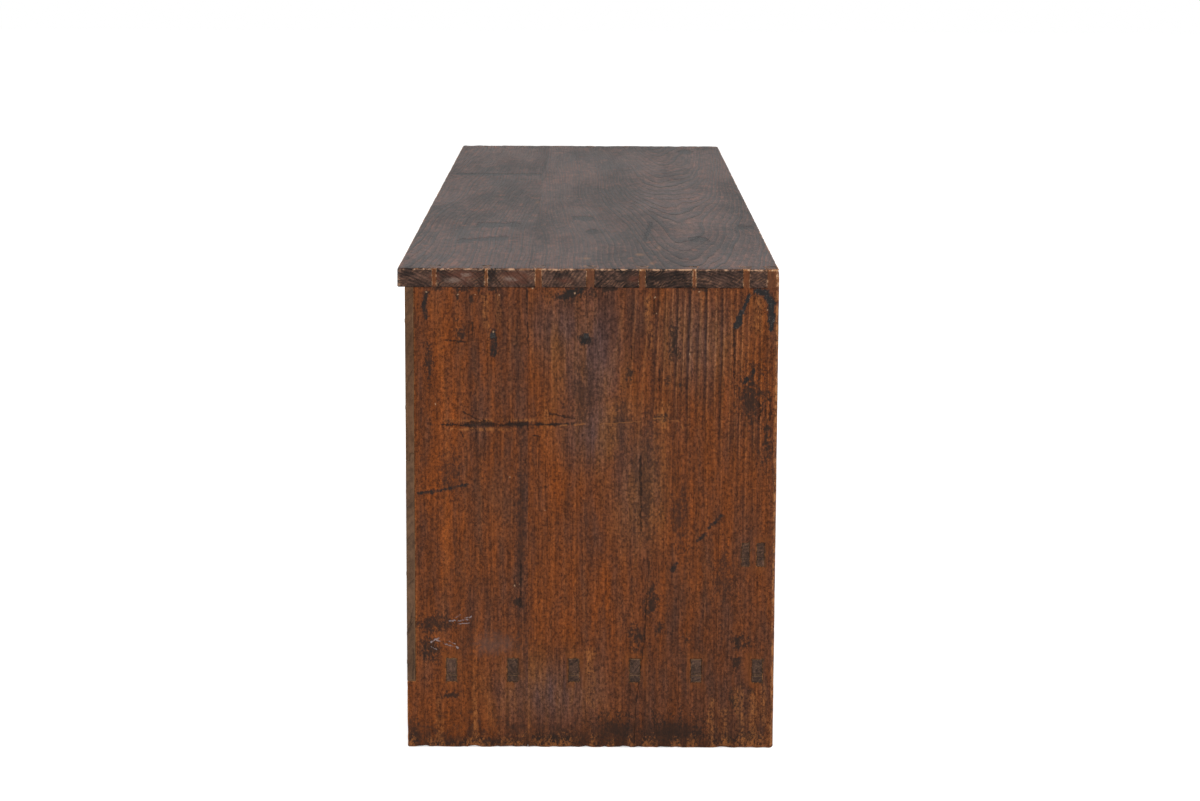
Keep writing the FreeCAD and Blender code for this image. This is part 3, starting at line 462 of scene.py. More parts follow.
# the photographed end: across is Y, up is Z
endMarks = {
    "black": {
        "noise": "fray", "torn": 6.0, "fade": (0.9, 1.5), "most": 0.93, "tone": (30, 32, 33),
        "streaks": [
            (-162, 490, -155, 470, 1.7), (-155, 473, -150, 458, 2.9), (-171, 495, -180, 493, 3),
            (-180, 493, -186, 482, 3.2), (-186, 482, -187, 464, 3), (-187, 464, -186, 455, 1.8),
        ],
    },
    "stained": {
        "noise": "fray", "torn": 6.5, "fade": (1.0, 2.0), "most": 0.95, "tone": (31, 27, 25),
        "streaks": [
            (184, 278, 162, 281, 1.3), (162, 281, 133, 288, 0.8), (105, 452, 105, 442, 2),
            (105, 437, 106, 427, 2.5), (175, 493, 178, 479, 1.4), (178, 479, 175, 465, 1.4),
            (-137, 256, -123, 242, 1.1), (-120, 236, -111, 228, 1), (-89, 203, -85, 196, 1.3),
            (-168, 410, -160, 399, 1.7), (34, 488, 12, 496, 2.4), (14, 444, 6, 442, 3),
        ],
    },
    "fine": {
        "noise": "fray", "torn": 8.0, "fade": (0.2, 1.2), "most": 0.75, "tone": (38, 26, 21), "deep": 2.5,
        "streaks": [
            (-147, 454, -148, 403, 0.7), (-175, 378, -175, 356, 1.1), (-186, 380, -186, 356, 1.2),
            (-181, 373, -181, 364, 0.7), (-40, 437, -40, 421, 0.8), (-69, 414, -69, 389, 0.7),
            (-63, 486, -63, 470, 0.6), (-60, 205, -55, 115, 0.5), (-55, 115, -47, 51, 0.6),
            (-47, 51, -45, 2, 0.6), (70, 495, 70, 471, 1), (69, 461, 69, 437, 0.6), (138, 366, 120, 357, 1),
            (132, 355, 103, 353, 1.4), (104, 352, 69, 353, 1.3), (64, 352, 38, 353, 1.1),
            (69, 355, 69, 348, 1), (46, 364, 20, 359, 0.8), (139, 344, 137, 339, 0.8),
            (160, 352, 131, 351, 1.3), (155, 442, 135, 440, 1), (127, 461, 127, 444, 1),
            (63, 341, 56, 339, 1), (-50, 319, -51, 238, 1), (76, 205, 77, 156, 0.9),
        ],
    },
    "smudged": {
        "noise": "fray", "torn": 9.0, "fade": (0.2, 1.4), "most": 0.82, "tone": (36, 27, 22),
        "patches": [
            (126, 352, 32, 2.3), (84, 352, 24, 2.6), (40, 353, 20, 1.7), (139, 449, 4.8, 6.4),
            (142, 488, 2.1, 5.8), (128, 486, 1.9, 6.4), (104, 497, 8.5, 3.2), (131, 497, 14.9, 3.2),
            (22, 489, 19, 9), (143, 463, 3.2, 2.1), (10, 444, 5.3, 5.3), (173, 420, 3.2, 21.2),
            (-84, 442, 5.3, 17), (-92, 396, 3.2, 3.2), (-78, 402, 3.2, 8.5), (-38, 410, 3.2, 9.6),
            (-166, 380, 15, 25), (-71, 359, 9.6, 4.2), (-63, 164, 8.5, 17), (168, 137, 17, 9),
            (172, 108, 11, 11), (151, 58, 9.6, 3.7), (80, 161, 4.2, 5.3), (-100, 119, 4.2, 5.3),
            (-138, 135, 2.1, 2.7), (-158, 118, 9.6, 8.5), (-153, 94, 5.3, 8), (-152, 52, 5.3, 10.6),
            (-169, 63, 3.2, 3.2), (-46, 122, 7.4, 13.8), (-72, 132, 6.4, 6.4), (-25, 20, 24, 16),
            (-86, 18, 32, 17), (-145, 9, 12.7, 5.3), (-170, 13, 10.6, 6.4), (35, 9, 27.6, 7.4),
            (131, 5, 42.5, 5.3), (190, 12, 6.4, 12.7), (-112, 498, 12.7, 3.2), (-15, 497, 14.9, 3.2),
            (162, 497, 8.5, 3.2), (-182, 336, 5.3, 23.4),
        ],
    },
    "shaded": {
        "noise": "fray", "torn": 7.0, "fade": (0.0, 1.6), "most": 0.6, "tone": (46, 31, 25),
        "patches": [
            (-55, 281, 13, 42), (-60, 319, 11, 34), (10, 386, 17, 28), (76, 232, 5, 94), (-30, 352, 9, 30),
            (-92, 250, 8, 30), (150, 300, 12, 20), (-140, 190, 9, 26),
        ],
    },
    "light": {
        "noise": "fray", "torn": 7.0, "fade": (0.2, 1.6), "most": 0.85, "tone": (150, 94, 50),
        "streaks": [
            (158, 356, 108, 356, 1.6), (150, 347, 88, 347, 1.8), (98, 357, 60, 357, 1.4),
            (-128, 52, -128, 2, 3.7), (-156, 63, -161, 13, 5.3), (-189, 28, -190, 2, 4.8),
            (-141, 40, -142, 6, 5), (-172, 56, -174, 8, 6), (-183, 70, -184, 26, 4),
            (-171, 484, -172, 459, 7.4), (114, 488, 113, 458, 3.7), (100, 489, 99, 463, 2.7),
            (50, 365, 51, 351, 3.2), (-57, 485, -60, 437, 4.2), (-73, 373, -75, 351, 5.3),
            (3, 106, 0, 51, 5.3), (164, 51, 163, 12, 3.7), (126, 51, 125, 12, 3.2),
        ],
    },
    # the specks at (7, 446) and (105, 451) are painted glints on the nail heads; the others are pale specks on
    # the wood
    "pale": {
        "noise": "crumbs", "torn": 2.5, "fade": (0.3, 1.0), "most": 0.85, "tone": (170, 136, 106),
        "patches": [
            (175, 493, 1, 1), (142, 490, 1, 0.8), (124, 490, 1, 0.8), (99, 490, 1.2, 1),
            (64, 497, 1.3, 1.1), (20, 492, 1.1, 1.4), (-64, 488, 1.4, 1.1), (-66, 471, 0.8, 0.8),
            (-110, 494, 1.2, 1), (-182, 475, 0.8, 0.8), (166, 374, 1, 1.6), (88, 296, 1.3, 1.3),
            (83, 178, 1.1, 1.7), (78, 180, 0.8, 1.1), (51, 260, 1, 1), (7, 446, 1, 1.2), (105, 451, 1, 1.3),
            (-101, 428, 0.8, 1.4),
        ],
    },
    "white": {
        "noise": "crumbs", "torn": 5.0, "fade": (0.0, 0.9), "most": 0.85, "tone": (160, 140, 138),
        "deep": 1.5,
        "streaks": [
            (152, 139, 146, 140, 1), (146, 143, 141, 146, 1), (143, 139, 132, 141, 1),
            (136, 142, 129, 144, 1), (142, 136, 131, 137, 0.7), (172, 116, 163, 121, 1.2),
            (168, 119, 162, 117, 1), (157, 114, 143, 110, 1), (153, 117, 146, 114, 0.6),
            (172, 111, 166, 108, 0.7),
        ],
    },
    "bright": {
        "noise": "crumbs", "torn": 4.0, "fade": (0.2, 1.0), "most": 0.55, "tone": (158, 100, 54),
        "streaks": [
            (35, 351, 28, 352, 0.8), (20, 352, 8, 353, 0.8), (-63, 359, -71, 359, 1),
            (-83, 357, -90, 356, 0.8), (-93, 353, -95, 348, 0.7), (-7, 353, -50, 356, 0.4),
        ],
    },
    "hazed": {
        "noise": "fray", "torn": 4.0, "fade": (0.0, 1.4), "most": 0.48, "tone": (94, 71, 62),
        "patches": [
            (104, 114, 27, 13),
        ],
    },
    # a bluish lift over parts of the end: painted sheen
    "purpleSheen": {
        "noise": "mottle", "torn": 1.8, "fade": (0.1, 1.5), "most": 0.65, "tint": (1.0, 1.62, 3.0),
        "patches": [
            (4, 421, 40, 66), (-112, 442, 46, 52), (-7, 346, 47.8, 42.5), (-50, 292, 31.9, 74.3),
            (51, 62, 63.7, 42.5), (36, 453, 31.9, 42.5),
        ],
    },
    "orange": {
        "noise": "mottle", "torn": 1.8, "fade": (0.1, 1.4), "most": 0.5, "tint": (1.35, 1.2, 0.75),
        "patches": [
            (157, 324, 34, 138.1), (108, 268, 38, 76), (83, 444, 11.7, 23.4), (-114, 205, 44.6, 63.7),
            (46, 302, 27.6, 53.1), (-176, 438, 14.9, 47.8), (3, 161, 42.5, 42.5), (142, 204, 31.9, 47.8),
        ],
    },
    "ringed": {
        "fade": (0.5, 1.5), "most": 0.8, "least": 0.2,
        "patches": [
            (-112, 437, 74.3, 79.7), (-161, 379, 42.5, 63.7),
        ],
    },
}
# through tenons in the photographed end
tenonRows = [
    {"first": -0.17615, "half": 0.0055, "level": 0.0855, "tall": 0.0125, "pitch": 0.0653, "last": 5.0},
    {"first": -0.17825, "half": 0.004, "level": 0.2125, "tall": 0.0125, "pitch": 0.016, "last": 1.0},
]
endWear = {
    "endFrom": -0.74, "jitterScale": (300.0, 300.0, 220.0), "jitter": 0.0034,
    "halo": {"reach": (0.002, 0.011), "most": 0.45, "mottle": (0.4, 0.6), "tone": (122, 68, 30)},
    "sooty": {"torn": -0.35, "rise": (0.0, 0.025), "most": 0.7, "tone": (44, 30, 23),
              "cleaner": (-0.15, -0.11), "least": 0.35},
    "lightStrands": (0.4, 0.6), "lightLeast": 0.25, "lightCrumbs": (0.4, 0.62),
    "scuffed": {"torn": -0.09, "rise": (-0.004, 0.012), "most": 0.8, "mottle": (0.42, 0.56),
                "tone": (150, 92, 48)},
    "pins": {"from": 0.4985, "share": 0.45, "tone": (102, 64, 42), "seat": 0.498, "clear": (0.0013, 0.0022),
             "lipCrumbs": (0.46, 0.6), "lipTone": (206, 168, 134)},
    "rim": {"torn": 0.009, "reach": (0.0, 0.0012), "most": 0.5, "mottle": (0.46, 0.54),
            "tone": (132, 98, 70)},
    "seam": {"torn": 0.006, "reach": (0.0002, 0.0013), "most": 0.8, "tone": (38, 27, 21)},
    "stainCrumbs": (0.42, 0.62), "stainLeast": 0.65,
    "tarCrumbs": (0.54, 0.7), "tarGlint": 0.6, "tarGlintTone": (104, 106, 104),
}


def tenonGap(along, upward, row):
    # distance outside the nearest tenon of a row, negative inside it
    pitch = row["pitch"]
    number = calc("ROUND", timesPlus(along, 1.0 / pitch, -row["first"] / pitch))
    number = calc("MINIMUM", calc("MAXIMUM", number, 0.0), row["last"])
    middle = timesPlus(number, pitch, row["first"])
    side = calc("ABSOLUTE", calc("SUBTRACT", along, middle))
    rise = calc("ABSOLUTE", calc("SUBTRACT", upward, row["level"]))
    outside = calc("SUBTRACT", side, row["half"])
    return calc("MAXIMUM", outside, calc("SUBTRACT", rise, row["tall"]))


def caseMaterial():
    look = caseLook
    material = startMaterial("wornCaseWood")
    wood = woodBase(look)
    crumbs, mottle = wood["crumbs"], wood["mottle"]
    across, along, upward = splitAxes(wood["place"])
    onEnd = calc("LESS_THAN", across, endWear["endFrom"])
    jitter = cloud(wood["place"], endWear["jitterScale"], detail=3.0, rough=0.65, colour=True)
    shake = endWear["jitter"]
    place = calcVector("MULTIPLY_ADD", jitter, (0.0, shake, shake), wood["place"])
    flat = calcVector("MULTIPLY_ADD", place, (0.0, 1.0, 1.0), (0.0, -shake / 2, -shake / 2))

    def onlyEnd(mask):
        return times(mask, onEnd)

    def endMark(name):
        return onlyEnd(marked(wood, flat, endMarks[name], (1, 2)))

    def lay(colour, mask, part):
        return mixTone(mask, colour, tone(*part["tone"]))

    part = endMarks["ringed"]
    ringed = nearestPatch(flat, part["patches"], (1, 2))
    ringed = ramp(ringed, *part["fade"], part["most"], part["least"])
    colour = woodColour(look, wood, ringed)
    # the purple patches are painted sheen; the orange patches are the wood's own tone
    for name in ("purpleSheen", "orange"):
        tinted = calcVector("MULTIPLY", colour, endMarks[name]["tint"])
        colour = mixTone(endMark(name), colour, tinted)
    for name in ("hazed", "shaded"):
        colour = lay(colour, endMark(name), endMarks[name])

    # paler wood round the tenons, soot and scuffs at the foot
    gaps = [tenonGap(along, upward, row) for row in tenonRows]
    collar = calc("MINIMUM", gaps[0], gaps[1])
    part = endWear["halo"]
    halo = onlyEnd(fade(collar, *part["reach"], part["most"]))
    colour = lay(colour, times(halo, fade(mottle, *part["mottle"])), part)
    part = endWear["sooty"]
    sooty = fade(torn(wood["fray"], part["torn"], upward), *part["rise"], part["most"])
    sooty = times(sooty, ramp(along, *part["cleaner"], part["least"], 1.0))
    colour = lay(colour, sooty, part)
    colour = lay(colour, endMark("smudged"), endMarks["smudged"])
    streaky = ramp(wood["strands"], *endWear["lightStrands"], endWear["lightLeast"], 1.0)
    light = times(endMark("light"), streaky)
    light = times(light, ramp(crumbs, *endWear["lightCrumbs"]))
    colour = lay(colour, light, endMarks["light"])
    part = endWear["scuffed"]
    scuffed = fade(torn(crumbs, part["torn"], upward), *part["rise"], part["most"])
    colour = lay(colour, times(scuffed, ramp(mottle, *part["mottle"])), part)

    # pins between the tails, rubbed arrises, rims and seams of the tenons; the pale lip on the pins is partly
    # wear and partly painted highlight
    part = endWear["pins"]
    pins = onlyEnd(calc("GREATER_THAN", upward, part["from"]))
    colour = lay(colour, times(pins, part["share"]), part)
    seats = calc("ABSOLUTE", calc("SUBTRACT", upward, part["seat"]))
    wood["arrisWearAndPaintedLight"] = times(wood["arrisWearAndPaintedLight"], ramp(seats, *part["clear"]))
    colour = rubAndEdgeLightColour(look, wood, colour)
    # pale line along the pins' arrises: partly wear and partly painted highlight
    pinLip = times(wood["arrisWearAndPaintedLight"], ramp(crumbs, *part["lipCrumbs"]))
    colour = mixTone(times(pins, pinLip), colour, tone(*part["lipTone"]))
    part = endWear["rim"]
    rim = onlyEnd(fade(torn(crumbs, part["torn"], collar), *part["reach"], part["most"]))
    colour = lay(colour, times(rim, ramp(mottle, *part["mottle"])), part)
    part = endWear["seam"]
    seam = onlyEnd(fade(torn(crumbs, part["torn"], collar), *part["reach"], part["most"]))
    colour = lay(colour, seam, part)

    # scratches, stains, tar with painted highlight specks, and chalk on top of all
    scored = endMark("fine")
    colour = lay(colour, scored, endMarks["fine"])
    stained = times(endMark("stained"), ramp(crumbs, *endWear["stainCrumbs"], 1.0, endWear["stainLeast"]))
    colour = lay(colour, stained, endMarks["stained"])
    # painted highlight specks on the black tar marks
    glint = ramp(crumbs, *endWear["tarCrumbs"], 0.0, endWear["tarGlint"])
    tar = mixTone(glint, tone(*endMarks["black"]["tone"]), tone(*endWear["tarGlintTone"]))
    colour = mixTone(endMark("black"), colour, tar)
    colour = lay(colour, endMark("bright"), endMarks["bright"])
    white = endMark("white")
    colour = lay(colour, white, endMarks["white"])
    colour = lay(colour, endMark("pale"), endMarks["pale"])
    scores = times(scored, endMarks["fine"]["deep"])
    dents = calc("MAXIMUM", scores, times(white, endMarks["white"]["deep"]))
    woodSurface(look, wood, colour, dents)
    return material


# the top's pale lip colour is partly wear and partly painted highlight on its rounded arrises
topLook = {
    "warm": (70, 43, 35), "dull": (48, 38, 36), "ring": (20, 16, 15), "soot": (20, 16, 15),
    "endWood": (66, 46, 37), "endRing": (32, 24, 21), "rubbedAndHighlight": (136, 96, 70), "arrisWearAndPaintedLight": (200, 158, 126),
    "strandScale": (300.0, 300.0, 12.0), "mottleScale": (26.0, 26.0, 9.0), "blotScale": (22.0, 34.0, 40.0),
    "crumbScale": (62.0, 150.0, 250.0), "fleckScale": (30.0, 70.0, 120.0),
    "driftScale": (6.0, 6.0, 1.6), "drift": 0.03, "wander": 0.003, "ringGap": 0.0034, "wear": 0.85,
    "strandShade": 0.2, "grit": 0.8, "glint": 0.3, "grimeFrom": 0.56, "grime": 0.55, "lipLow": 0.05,
    "rubReach": 0.0018, "ringRelief": 1.6, "relief": 0.0015, "rough": 0.54, "sheen": 0.035, "shine": 0.16,
    "endStain": 0.7, "paleLine": 0.12, "ringShow": 0.95,
}

# the top: along is X, squeezed because the marks are long that way, across is Y; its ends are Y and Z
topMarks = {
    "dark": {
        "noise": "fray", "torn": 4.5, "fade": (0.5, 1.7), "most": 0.92, "tone": (18, 13, 12), "deep": 1.5,
        "streaks": [
            (41.4, 75, 41.4, 191, 2), (-73.5, -58, -49.4, -68, 1.9), (-41.7, 23, -41.4, 4, 3),
            (-61.9, 5, -61.9, -1, 3), (-73.3, -111, -73.2, -126, 3), (-55, -172, -54.9, -185, 2.5),
            (96.6, -134, 96.6, -145, 5), (-51.9, 90, -52.6, 136, 3), (-72.3, 100, -76.8, 151, 2.5),
        ],
    },
    "patched": {
        "noise": "fray", "torn": 6.0, "fade": (0.0, 1.5), "most": 0.78, "tone": (33, 24, 22),
        "patches": [
            (-64.8, 151, 13.5, 16), (-51.1, 80, 9, 22), (62.1, -31, 18, 40), (21.4, 120, 21, 30),
            (-13.3, 72, 4.5, 6), (83.2, 20, 13.5, 60), (-98.1, 171, 7.5, 18),
        ],
    },
    "pale": {
        "noise": "crumbs", "torn": 2.6, "fade": (0.1, 1.0), "most": 0.5, "tone": (140, 96, 62),
        "patches": [
            (-14.2, 72, 3.9, 4), (-94.3, -50, 2.4, 7), (-99.6, 9, 2.1, 6), (-105.6, -62, 2.7, 4),
            (-86, -72, 4.5, 3),
        ],
    },
    "reddened": {
        "noise": "crumbs", "torn": 4.0, "fade": (0.0, 1.3), "most": 0.6, "tone": (104, 60, 44),
        "patches": [
            (136, 509, 20, 8), (80, 508, 19, 8), (-42, 508, 8, 6), (166, 508, 7, 5), (30, 505, 8, 4),
        ],
    },
    "chalked": {
        "noise": "crumbs", "torn": 4.0, "fade": (0.0, 1.3), "most": 0.6, "tone": (138, 118, 106),
        "patches": [
            (146, 506, 10, 3), (88, 507, 8, 2.5), (133, 511, 5, 2),
        ],
    },
}
topWear = {
    "squeeze": 0.15, "upperFrom": 0.516, "endFrom": -0.745, "lipCrumbs": (0.42, 0.56),
    "fleckFray": (0.555, 0.64), "fleckMost": 0.42, "fleckTone": (128, 72, 46),
}


def topMaterial():
    look = topLook
    material = startMaterial("wornTopWood")
    wood = woodBase(look)
    along, _, level = splitAxes(wood["place"])
    flat = calcVector("MULTIPLY", wood["place"], (topWear["squeeze"], 1.0, 0.0))
    upper = calc("GREATER_THAN", level, topWear["upperFrom"])
    onEnd = calc("LESS_THAN", along, topWear["endFrom"])

    def topMark(name):
        return marked(wood, flat, topMarks[name], (0, 1))

    def lay(colour, mask, name):
        return mixTone(mask, colour, tone(*topMarks[name]["tone"]))

    dark = times(topMark("dark"), upper)
    colour = woodColour(look, wood, look["ringShow"])
    fleck = ramp(wood["fray"], *topWear["fleckFray"], 0.0, topWear["fleckMost"])
    colour = mixTone(times(fleck, upper), colour, tone(*topWear["fleckTone"]))
    colour = lay(colour, topMark("patched"), "patched")
    # the lip, partly wear and partly painted highlight, broken up by crumbs
    wood["arrisWearAndPaintedLight"] = times(wood["arrisWearAndPaintedLight"], ramp(wood["crumbs"], *topWear["lipCrumbs"]))
    colour = rubAndEdgeLightColour(look, wood, colour)
    colour = lay(colour, dark, "dark")
    colour = lay(colour, times(topMark("pale"), upper), "pale")
    for name in ("reddened", "chalked"):
        mark = marked(wood, wood["place"], topMarks[name], (1, 2))
        colour = lay(colour, times(mark, onEnd), name)
    woodSurface(look, wood, colour, times(dark, topMarks["dark"]["deep"]))
    return material


# the other woods: what they share, then what sets each apart
plainLook = {
    "crumbScale": (370.0, 370.0, 300.0), "fleckScale": (130.0, 130.0, 130.0),
    "strandScale": (380.0, 380.0, 24.0), "mottleScale": (60.0, 60.0, 12.0), "blotScale": (45.0, 45.0, 45.0),
    "driftScale": (5.0, 5.0, 1.0),
    "drift": 0.05, "wander": 0.002, "grimeFrom": 0.6, "grime": 0.6, "lipLow": 0.1, "ringRelief": 0.8,
    "relief": 0.0005, "sheen": 0.05, "shine": 0.15, "paleLine": 0.2, "ringShow": 0.7,
}
# the front, inner and tenon lips are partly wear and partly painted highlight on the rounded arrises
frontLook = {
    **plainLook, "warm": (112, 60, 29), "dull": (80, 48, 33), "ring": (46, 28, 21), "soot": (36, 26, 21),
    "endWood": (74, 52, 40), "endRing": (40, 29, 23), "rubbedAndHighlight": (150, 96, 54), "arrisWearAndPaintedLight": (150, 98, 60),
    "wear": 0.45, "driftScale": (5.0, 5.0, 1.2), "drift": 0.04, "ringGap": 0.0056, "strandShade": 0.22,
    "grit": 0.18, "glint": 0.15, "rubReach": 0.0018, "rough": 0.5, "sheen": 0.06, "shine": 0.2,
    "endStain": 0.6,
}
# the back's lip is a dark painted shadow line along its arrises
backLook = {
    **plainLook, "warm": (98, 72, 52), "dull": (80, 58, 43), "ring": (58, 41, 31), "soot": (44, 34, 28),
    "endWood": (94, 68, 49), "endRing": (66, 48, 36), "rubbedAndHighlight": (106, 79, 57), "arrisWearAndPaintedLight": (54, 40, 31),
    "wear": 0.85, "wander": 0.0022, "ringGap": 0.0075, "strandShade": 0.26, "grit": 0.22, "glint": 0.2,
    "rubReach": 0.0014, "ringRelief": 1.0, "relief": 0.0008, "rough": 0.75, "shine": 0.12, "endStain": 0.22,
}
innerLook = {
    **plainLook, "warm": (172, 134, 90), "dull": (148, 112, 76), "ring": (120, 86, 55), "soot": (92, 70, 50),
    "endWood": (140, 106, 72), "endRing": (100, 73, 49), "rubbedAndHighlight": (186, 150, 108), "arrisWearAndPaintedLight": (186, 150, 108),
    "wear": 0.4, "fleckScale": (90.0, 90.0, 90.0), "mottleScale": (50.0, 50.0, 8.0), "ringGap": 0.0065,
    "strandShade": 0.15, "grit": 0.1, "glint": 0.1, "grime": 0.4, "rubReach": 0.0012, "rough": 0.68,
    "endStain": 0.4, "paleLine": 0.15, "ringShow": 0.55,
}
tenonLook = {
    **plainLook, "warm": (78, 60, 50), "dull": (64, 48, 40), "ring": (42, 32, 27), "soot": (32, 26, 23),
    "endWood": (78, 55, 43), "endRing": (40, 28, 22), "rubbedAndHighlight": (122, 90, 66), "arrisWearAndPaintedLight": (112, 82, 58),
    "wear": 0.6, "fleckScale": (160.0, 160.0, 160.0), "drift": 0.03, "ringGap": 0.0036, "strandShade": 0.2,
    "grit": 0.6, "glint": 0.5, "grime": 0.5, "rubReach": 0.0008, "relief": 0.0006, "rough": 0.65,
    "endStain": 0.5,
}


def plainWood(name, look):
    material = startMaterial(name)
    wood = woodBase(look)
    colour = woodColour(look, wood, look["ringShow"])
    woodSurface(look, wood, rubAndEdgeLightColour(look, wood, colour))
    return material


ironLook = {
    "dark": (34, 31, 30), "bare": (66, 60, 56), "rust": (78, 50, 36), "gloss": (0.42, 0.72), "metal": 0.75,
    "scaleSize": (420.0, 420.0, 420.0), "scaleSpan": (0.4, 0.75), "bloomSize": (130.0, 130.0, 130.0),
    "rustSpan": (0.52, 0.72), "rustMost": 0.7, "glossSpan": (0.3, 0.7), "bloomRelief": 1.5, "bump": 0.6,
    "relief": 0.0004,
}


def ironMaterial():
    look = ironLook
    material = startMaterial("forgedIron")
    place = tree.nodes.new("ShaderNodeTexCoord").outputs["Object"]
    scale = cloud(place, look["scaleSize"], detail=4.0, rough=0.65)
    bloom = cloud(place, look["bloomSize"], detail=3.0, rough=0.6)
    colour = mixTone(ramp(scale, *look["scaleSpan"]), tone(*look["dark"]), tone(*look["bare"]))
    rust = ramp(bloom, *look["rustSpan"], 0.0, look["rustMost"])
    colour = mixTone(rust, colour, tone(*look["rust"]))
    gloss = ramp(bloom, *look["glossSpan"], *look["gloss"])
    normal = bumpFrom(timesPlus(bloom, look["bloomRelief"], scale), look["bump"], look["relief"])
    finishMaterial(colour, gloss, normal, Metallic=look["metal"])
    return material


woodFinish = {
    "case_wood": caseMaterial(),
    "top_wood": topMaterial(),
    "front_wood": plainWood("wornFrontWood", frontLook),
    "back_wood": plainWood("roughBackWood", backLook),
    "inner_wood": plainWood("plainInnerWood", innerLook),
    "wedge_wood": plainWood("tenonEndWood", tenonLook),
}
iron = ironMaterial()
print("materials made:", len(woodFinish) + 1)


# boards: each is its CAD solid with rounded, rubbed and chipped arrises
boardSet = {
    "seed": 41,
    "arris": 0.0006,
    "widest": 0.004,
    "bevelSteps": 3,
    "skin": 0.0002,
    "sharp": 0.35,
    "weld": 0.00001,
    "flatWithin": 0.01,
    "sheltered": 0.1,
    "sliceShift": 0.21,
    "sharpAbove": 38,
    "squareFrom": 0.999,
    "pithAcross": (0.1, 0.9),
    "pithAway": (0.035, 0.1),
    "slides": (-5.0, 5.0),
    "shades": (0.8, 1.15),
    "warmths": (-0.05, 0.05),
}
endFront = {
    "fibre": 2,
    "slices": {1: 0.004, 2: 0.005},
    "worn": [(2, 0, 0.0022), (1, 0, 0.0018), (0, 0, 0.001), (0, 1, 0.001)],
    "chips": [(2, 0, 0.0026, 0.007), (1, 0, 0.0013, 0.006), (2, 1, 0.0012, 0.004)],
}
endRear = {
    "fibre": 2,
    "slices": {1: 0.004, 2: 0.005},
    "worn": [(2, 0, 0.0022), (1, 1, 0.0012), (0, 0, 0.001), (0, 1, 0.001)],
    "chips": [(2, 0, 0.0026, 0.007), (1, 1, 0.0008, 0.005), (2, 1, 0.0012, 0.004)],
}
topPiece = {
    "fibre": 0,
    "slices": {0: 0.008, 1: 0.004},
    "worn": [(0, 0, 0.001), (0, 1, 0.001)],
    "chips": [(2, 1, 0.0013, 0.005), (2, 0, 0.0007, 0.003)],
}
boardKinds = {
    "end_front_board": endFront,
    "end_rear_board": endRear,
    "top_front_board": topPiece,
    "top_rear_board": topPiece,
    "drawer_post": {"fibre": 2},
    "stile": {"fibre": 2},
    "muntin": {"fibre": 2},
    "panel": {"fibre": 2},
    "partition": {"fibre": 1},
    "drawer_left_side": {"fibre": 1},
    "drawer_right_side": {"fibre": 1},
}
plainBoard = {"fibre": 0, "arris": 0.0008}
# pith lines that give the photographed boards their figure
pithAt = {
    "left_end_front_board": (-0.69, 0.004, 0.0),
    "left_end_rear_board": (-0.62, 0.2, 0.0),
    "top_front_board": (0.0, -0.085, 0.45),
    "top_rear_board": (0.0, 0.27, 0.42),
}
pithTilt = {"top_front_board": 0.05, "top_rear_board": 0.03}
jointSides = {
    "end_front_board": [(1, 1)],
    "end_rear_board": [(1, 0)],
    "top_front_board": [(1, 1)],
    "top_rear_board": [(1, 0)],
}
shelteredSides = {"top_front_board": [(2, 0)], "top_rear_board": [(2, 0)]}
chipSet = {"bite": 0.22, "coarse": 0.95, "coarseScale": 75.0, "fine": 0.55, "fineScale": 240.0}
# where the unfinished inner faces and the tenons' ends begin
innerSet = {
    "endInside": 0.7265, "endFront": -0.15, "endFloor": 0.098, "topInside": 0.726, "topBack": 0.188,
    "drawerInside": -0.185, "bottomInside": 0.7495, "bottomFront": -0.187, "tenonFrom": 0.7485, "faceOn": 0.9,
}


def settingsFor(table, name, otherwise):
    return next((table[key] for key in table if key in name), otherwise)


def mergedCopy(name):
    bm = bmesh.new()
    bm.from_mesh(frame["nodes"][name].data)
    bmesh.ops.remove_doubles(bm, verts=bm.verts, dist=boardSet["weld"])
    bmesh.ops.dissolve_limit(bm, angle_limit=boardSet["flatWithin"], verts=bm.verts, edges=bm.edges)
    return bm


def onPlane(edge, axis, level):
    return all(abs(vert.co[axis] - level) < boardSet["skin"] for vert in edge.verts)


def roundArrises(name, bm, corners, kind):
    weight = bm.edges.layers.float.new("bevel_weight_edge")
    for edge in bm.edges:
        if len(edge.link_faces) != 2 or edge.calc_face_angle(0.0) < boardSet["sharp"]:
            continue
        width = 0.0
        for axis in range(3):
            for side in range(2):
                if onPlane(edge, axis, corners[side][axis]):
                    width = max(width, kind.get("arris", boardSet["arris"]))
        for axis, side, size in kind.get("worn", []):
            if onPlane(edge, axis, corners[side][axis]):
                width = max(width, size)
        glued = settingsFor(jointSides, name, [])
        if any(onPlane(edge, axis, corners[side][axis]) for axis, side in glued):
            width = 0.0
        edge[weight] = width / boardSet["widest"]
    mesh = bpy.data.meshes.new(name)
    bm.to_mesh(mesh)
    bm.free()
    piece = bpy.data.objects.new(name, mesh)
    bpy.context.scene.collection.objects.link(piece)
    bevel = piece.modifiers.new("arrises", "BEVEL")
    bevel.limit_method = "WEIGHT"
    bevel.width = boardSet["widest"]
    bevel.segments = boardSet["bevelSteps"]
    bevel.profile = 0.5
    bevel.use_clamp_overlap = False
    bpy.context.view_layer.update()
    finished = piece.evaluated_get(bpy.context.evaluated_depsgraph_get())
    rounded = bpy.data.meshes.new_from_object(finished)
    piece.modifiers.clear()
    piece.data = rounded
    bpy.data.meshes.remove(mesh)
    return piece


def openCorners(name, corners):
    # the board's box, drawn out on the sides where nothing wears it
    low, high = corners[0].copy(), corners[1].copy()
    for axis, side in settingsFor(jointSides, name, []) + settingsFor(shelteredSides, name, []):
        (low, high)[side][axis] += (-1, 1)[side] * boardSet["sheltered"]
    return low, high


def keptInside(co, corners):
    return [min(max(co[axis], corners[0][axis]), corners[1][axis]) for axis in range(3)]


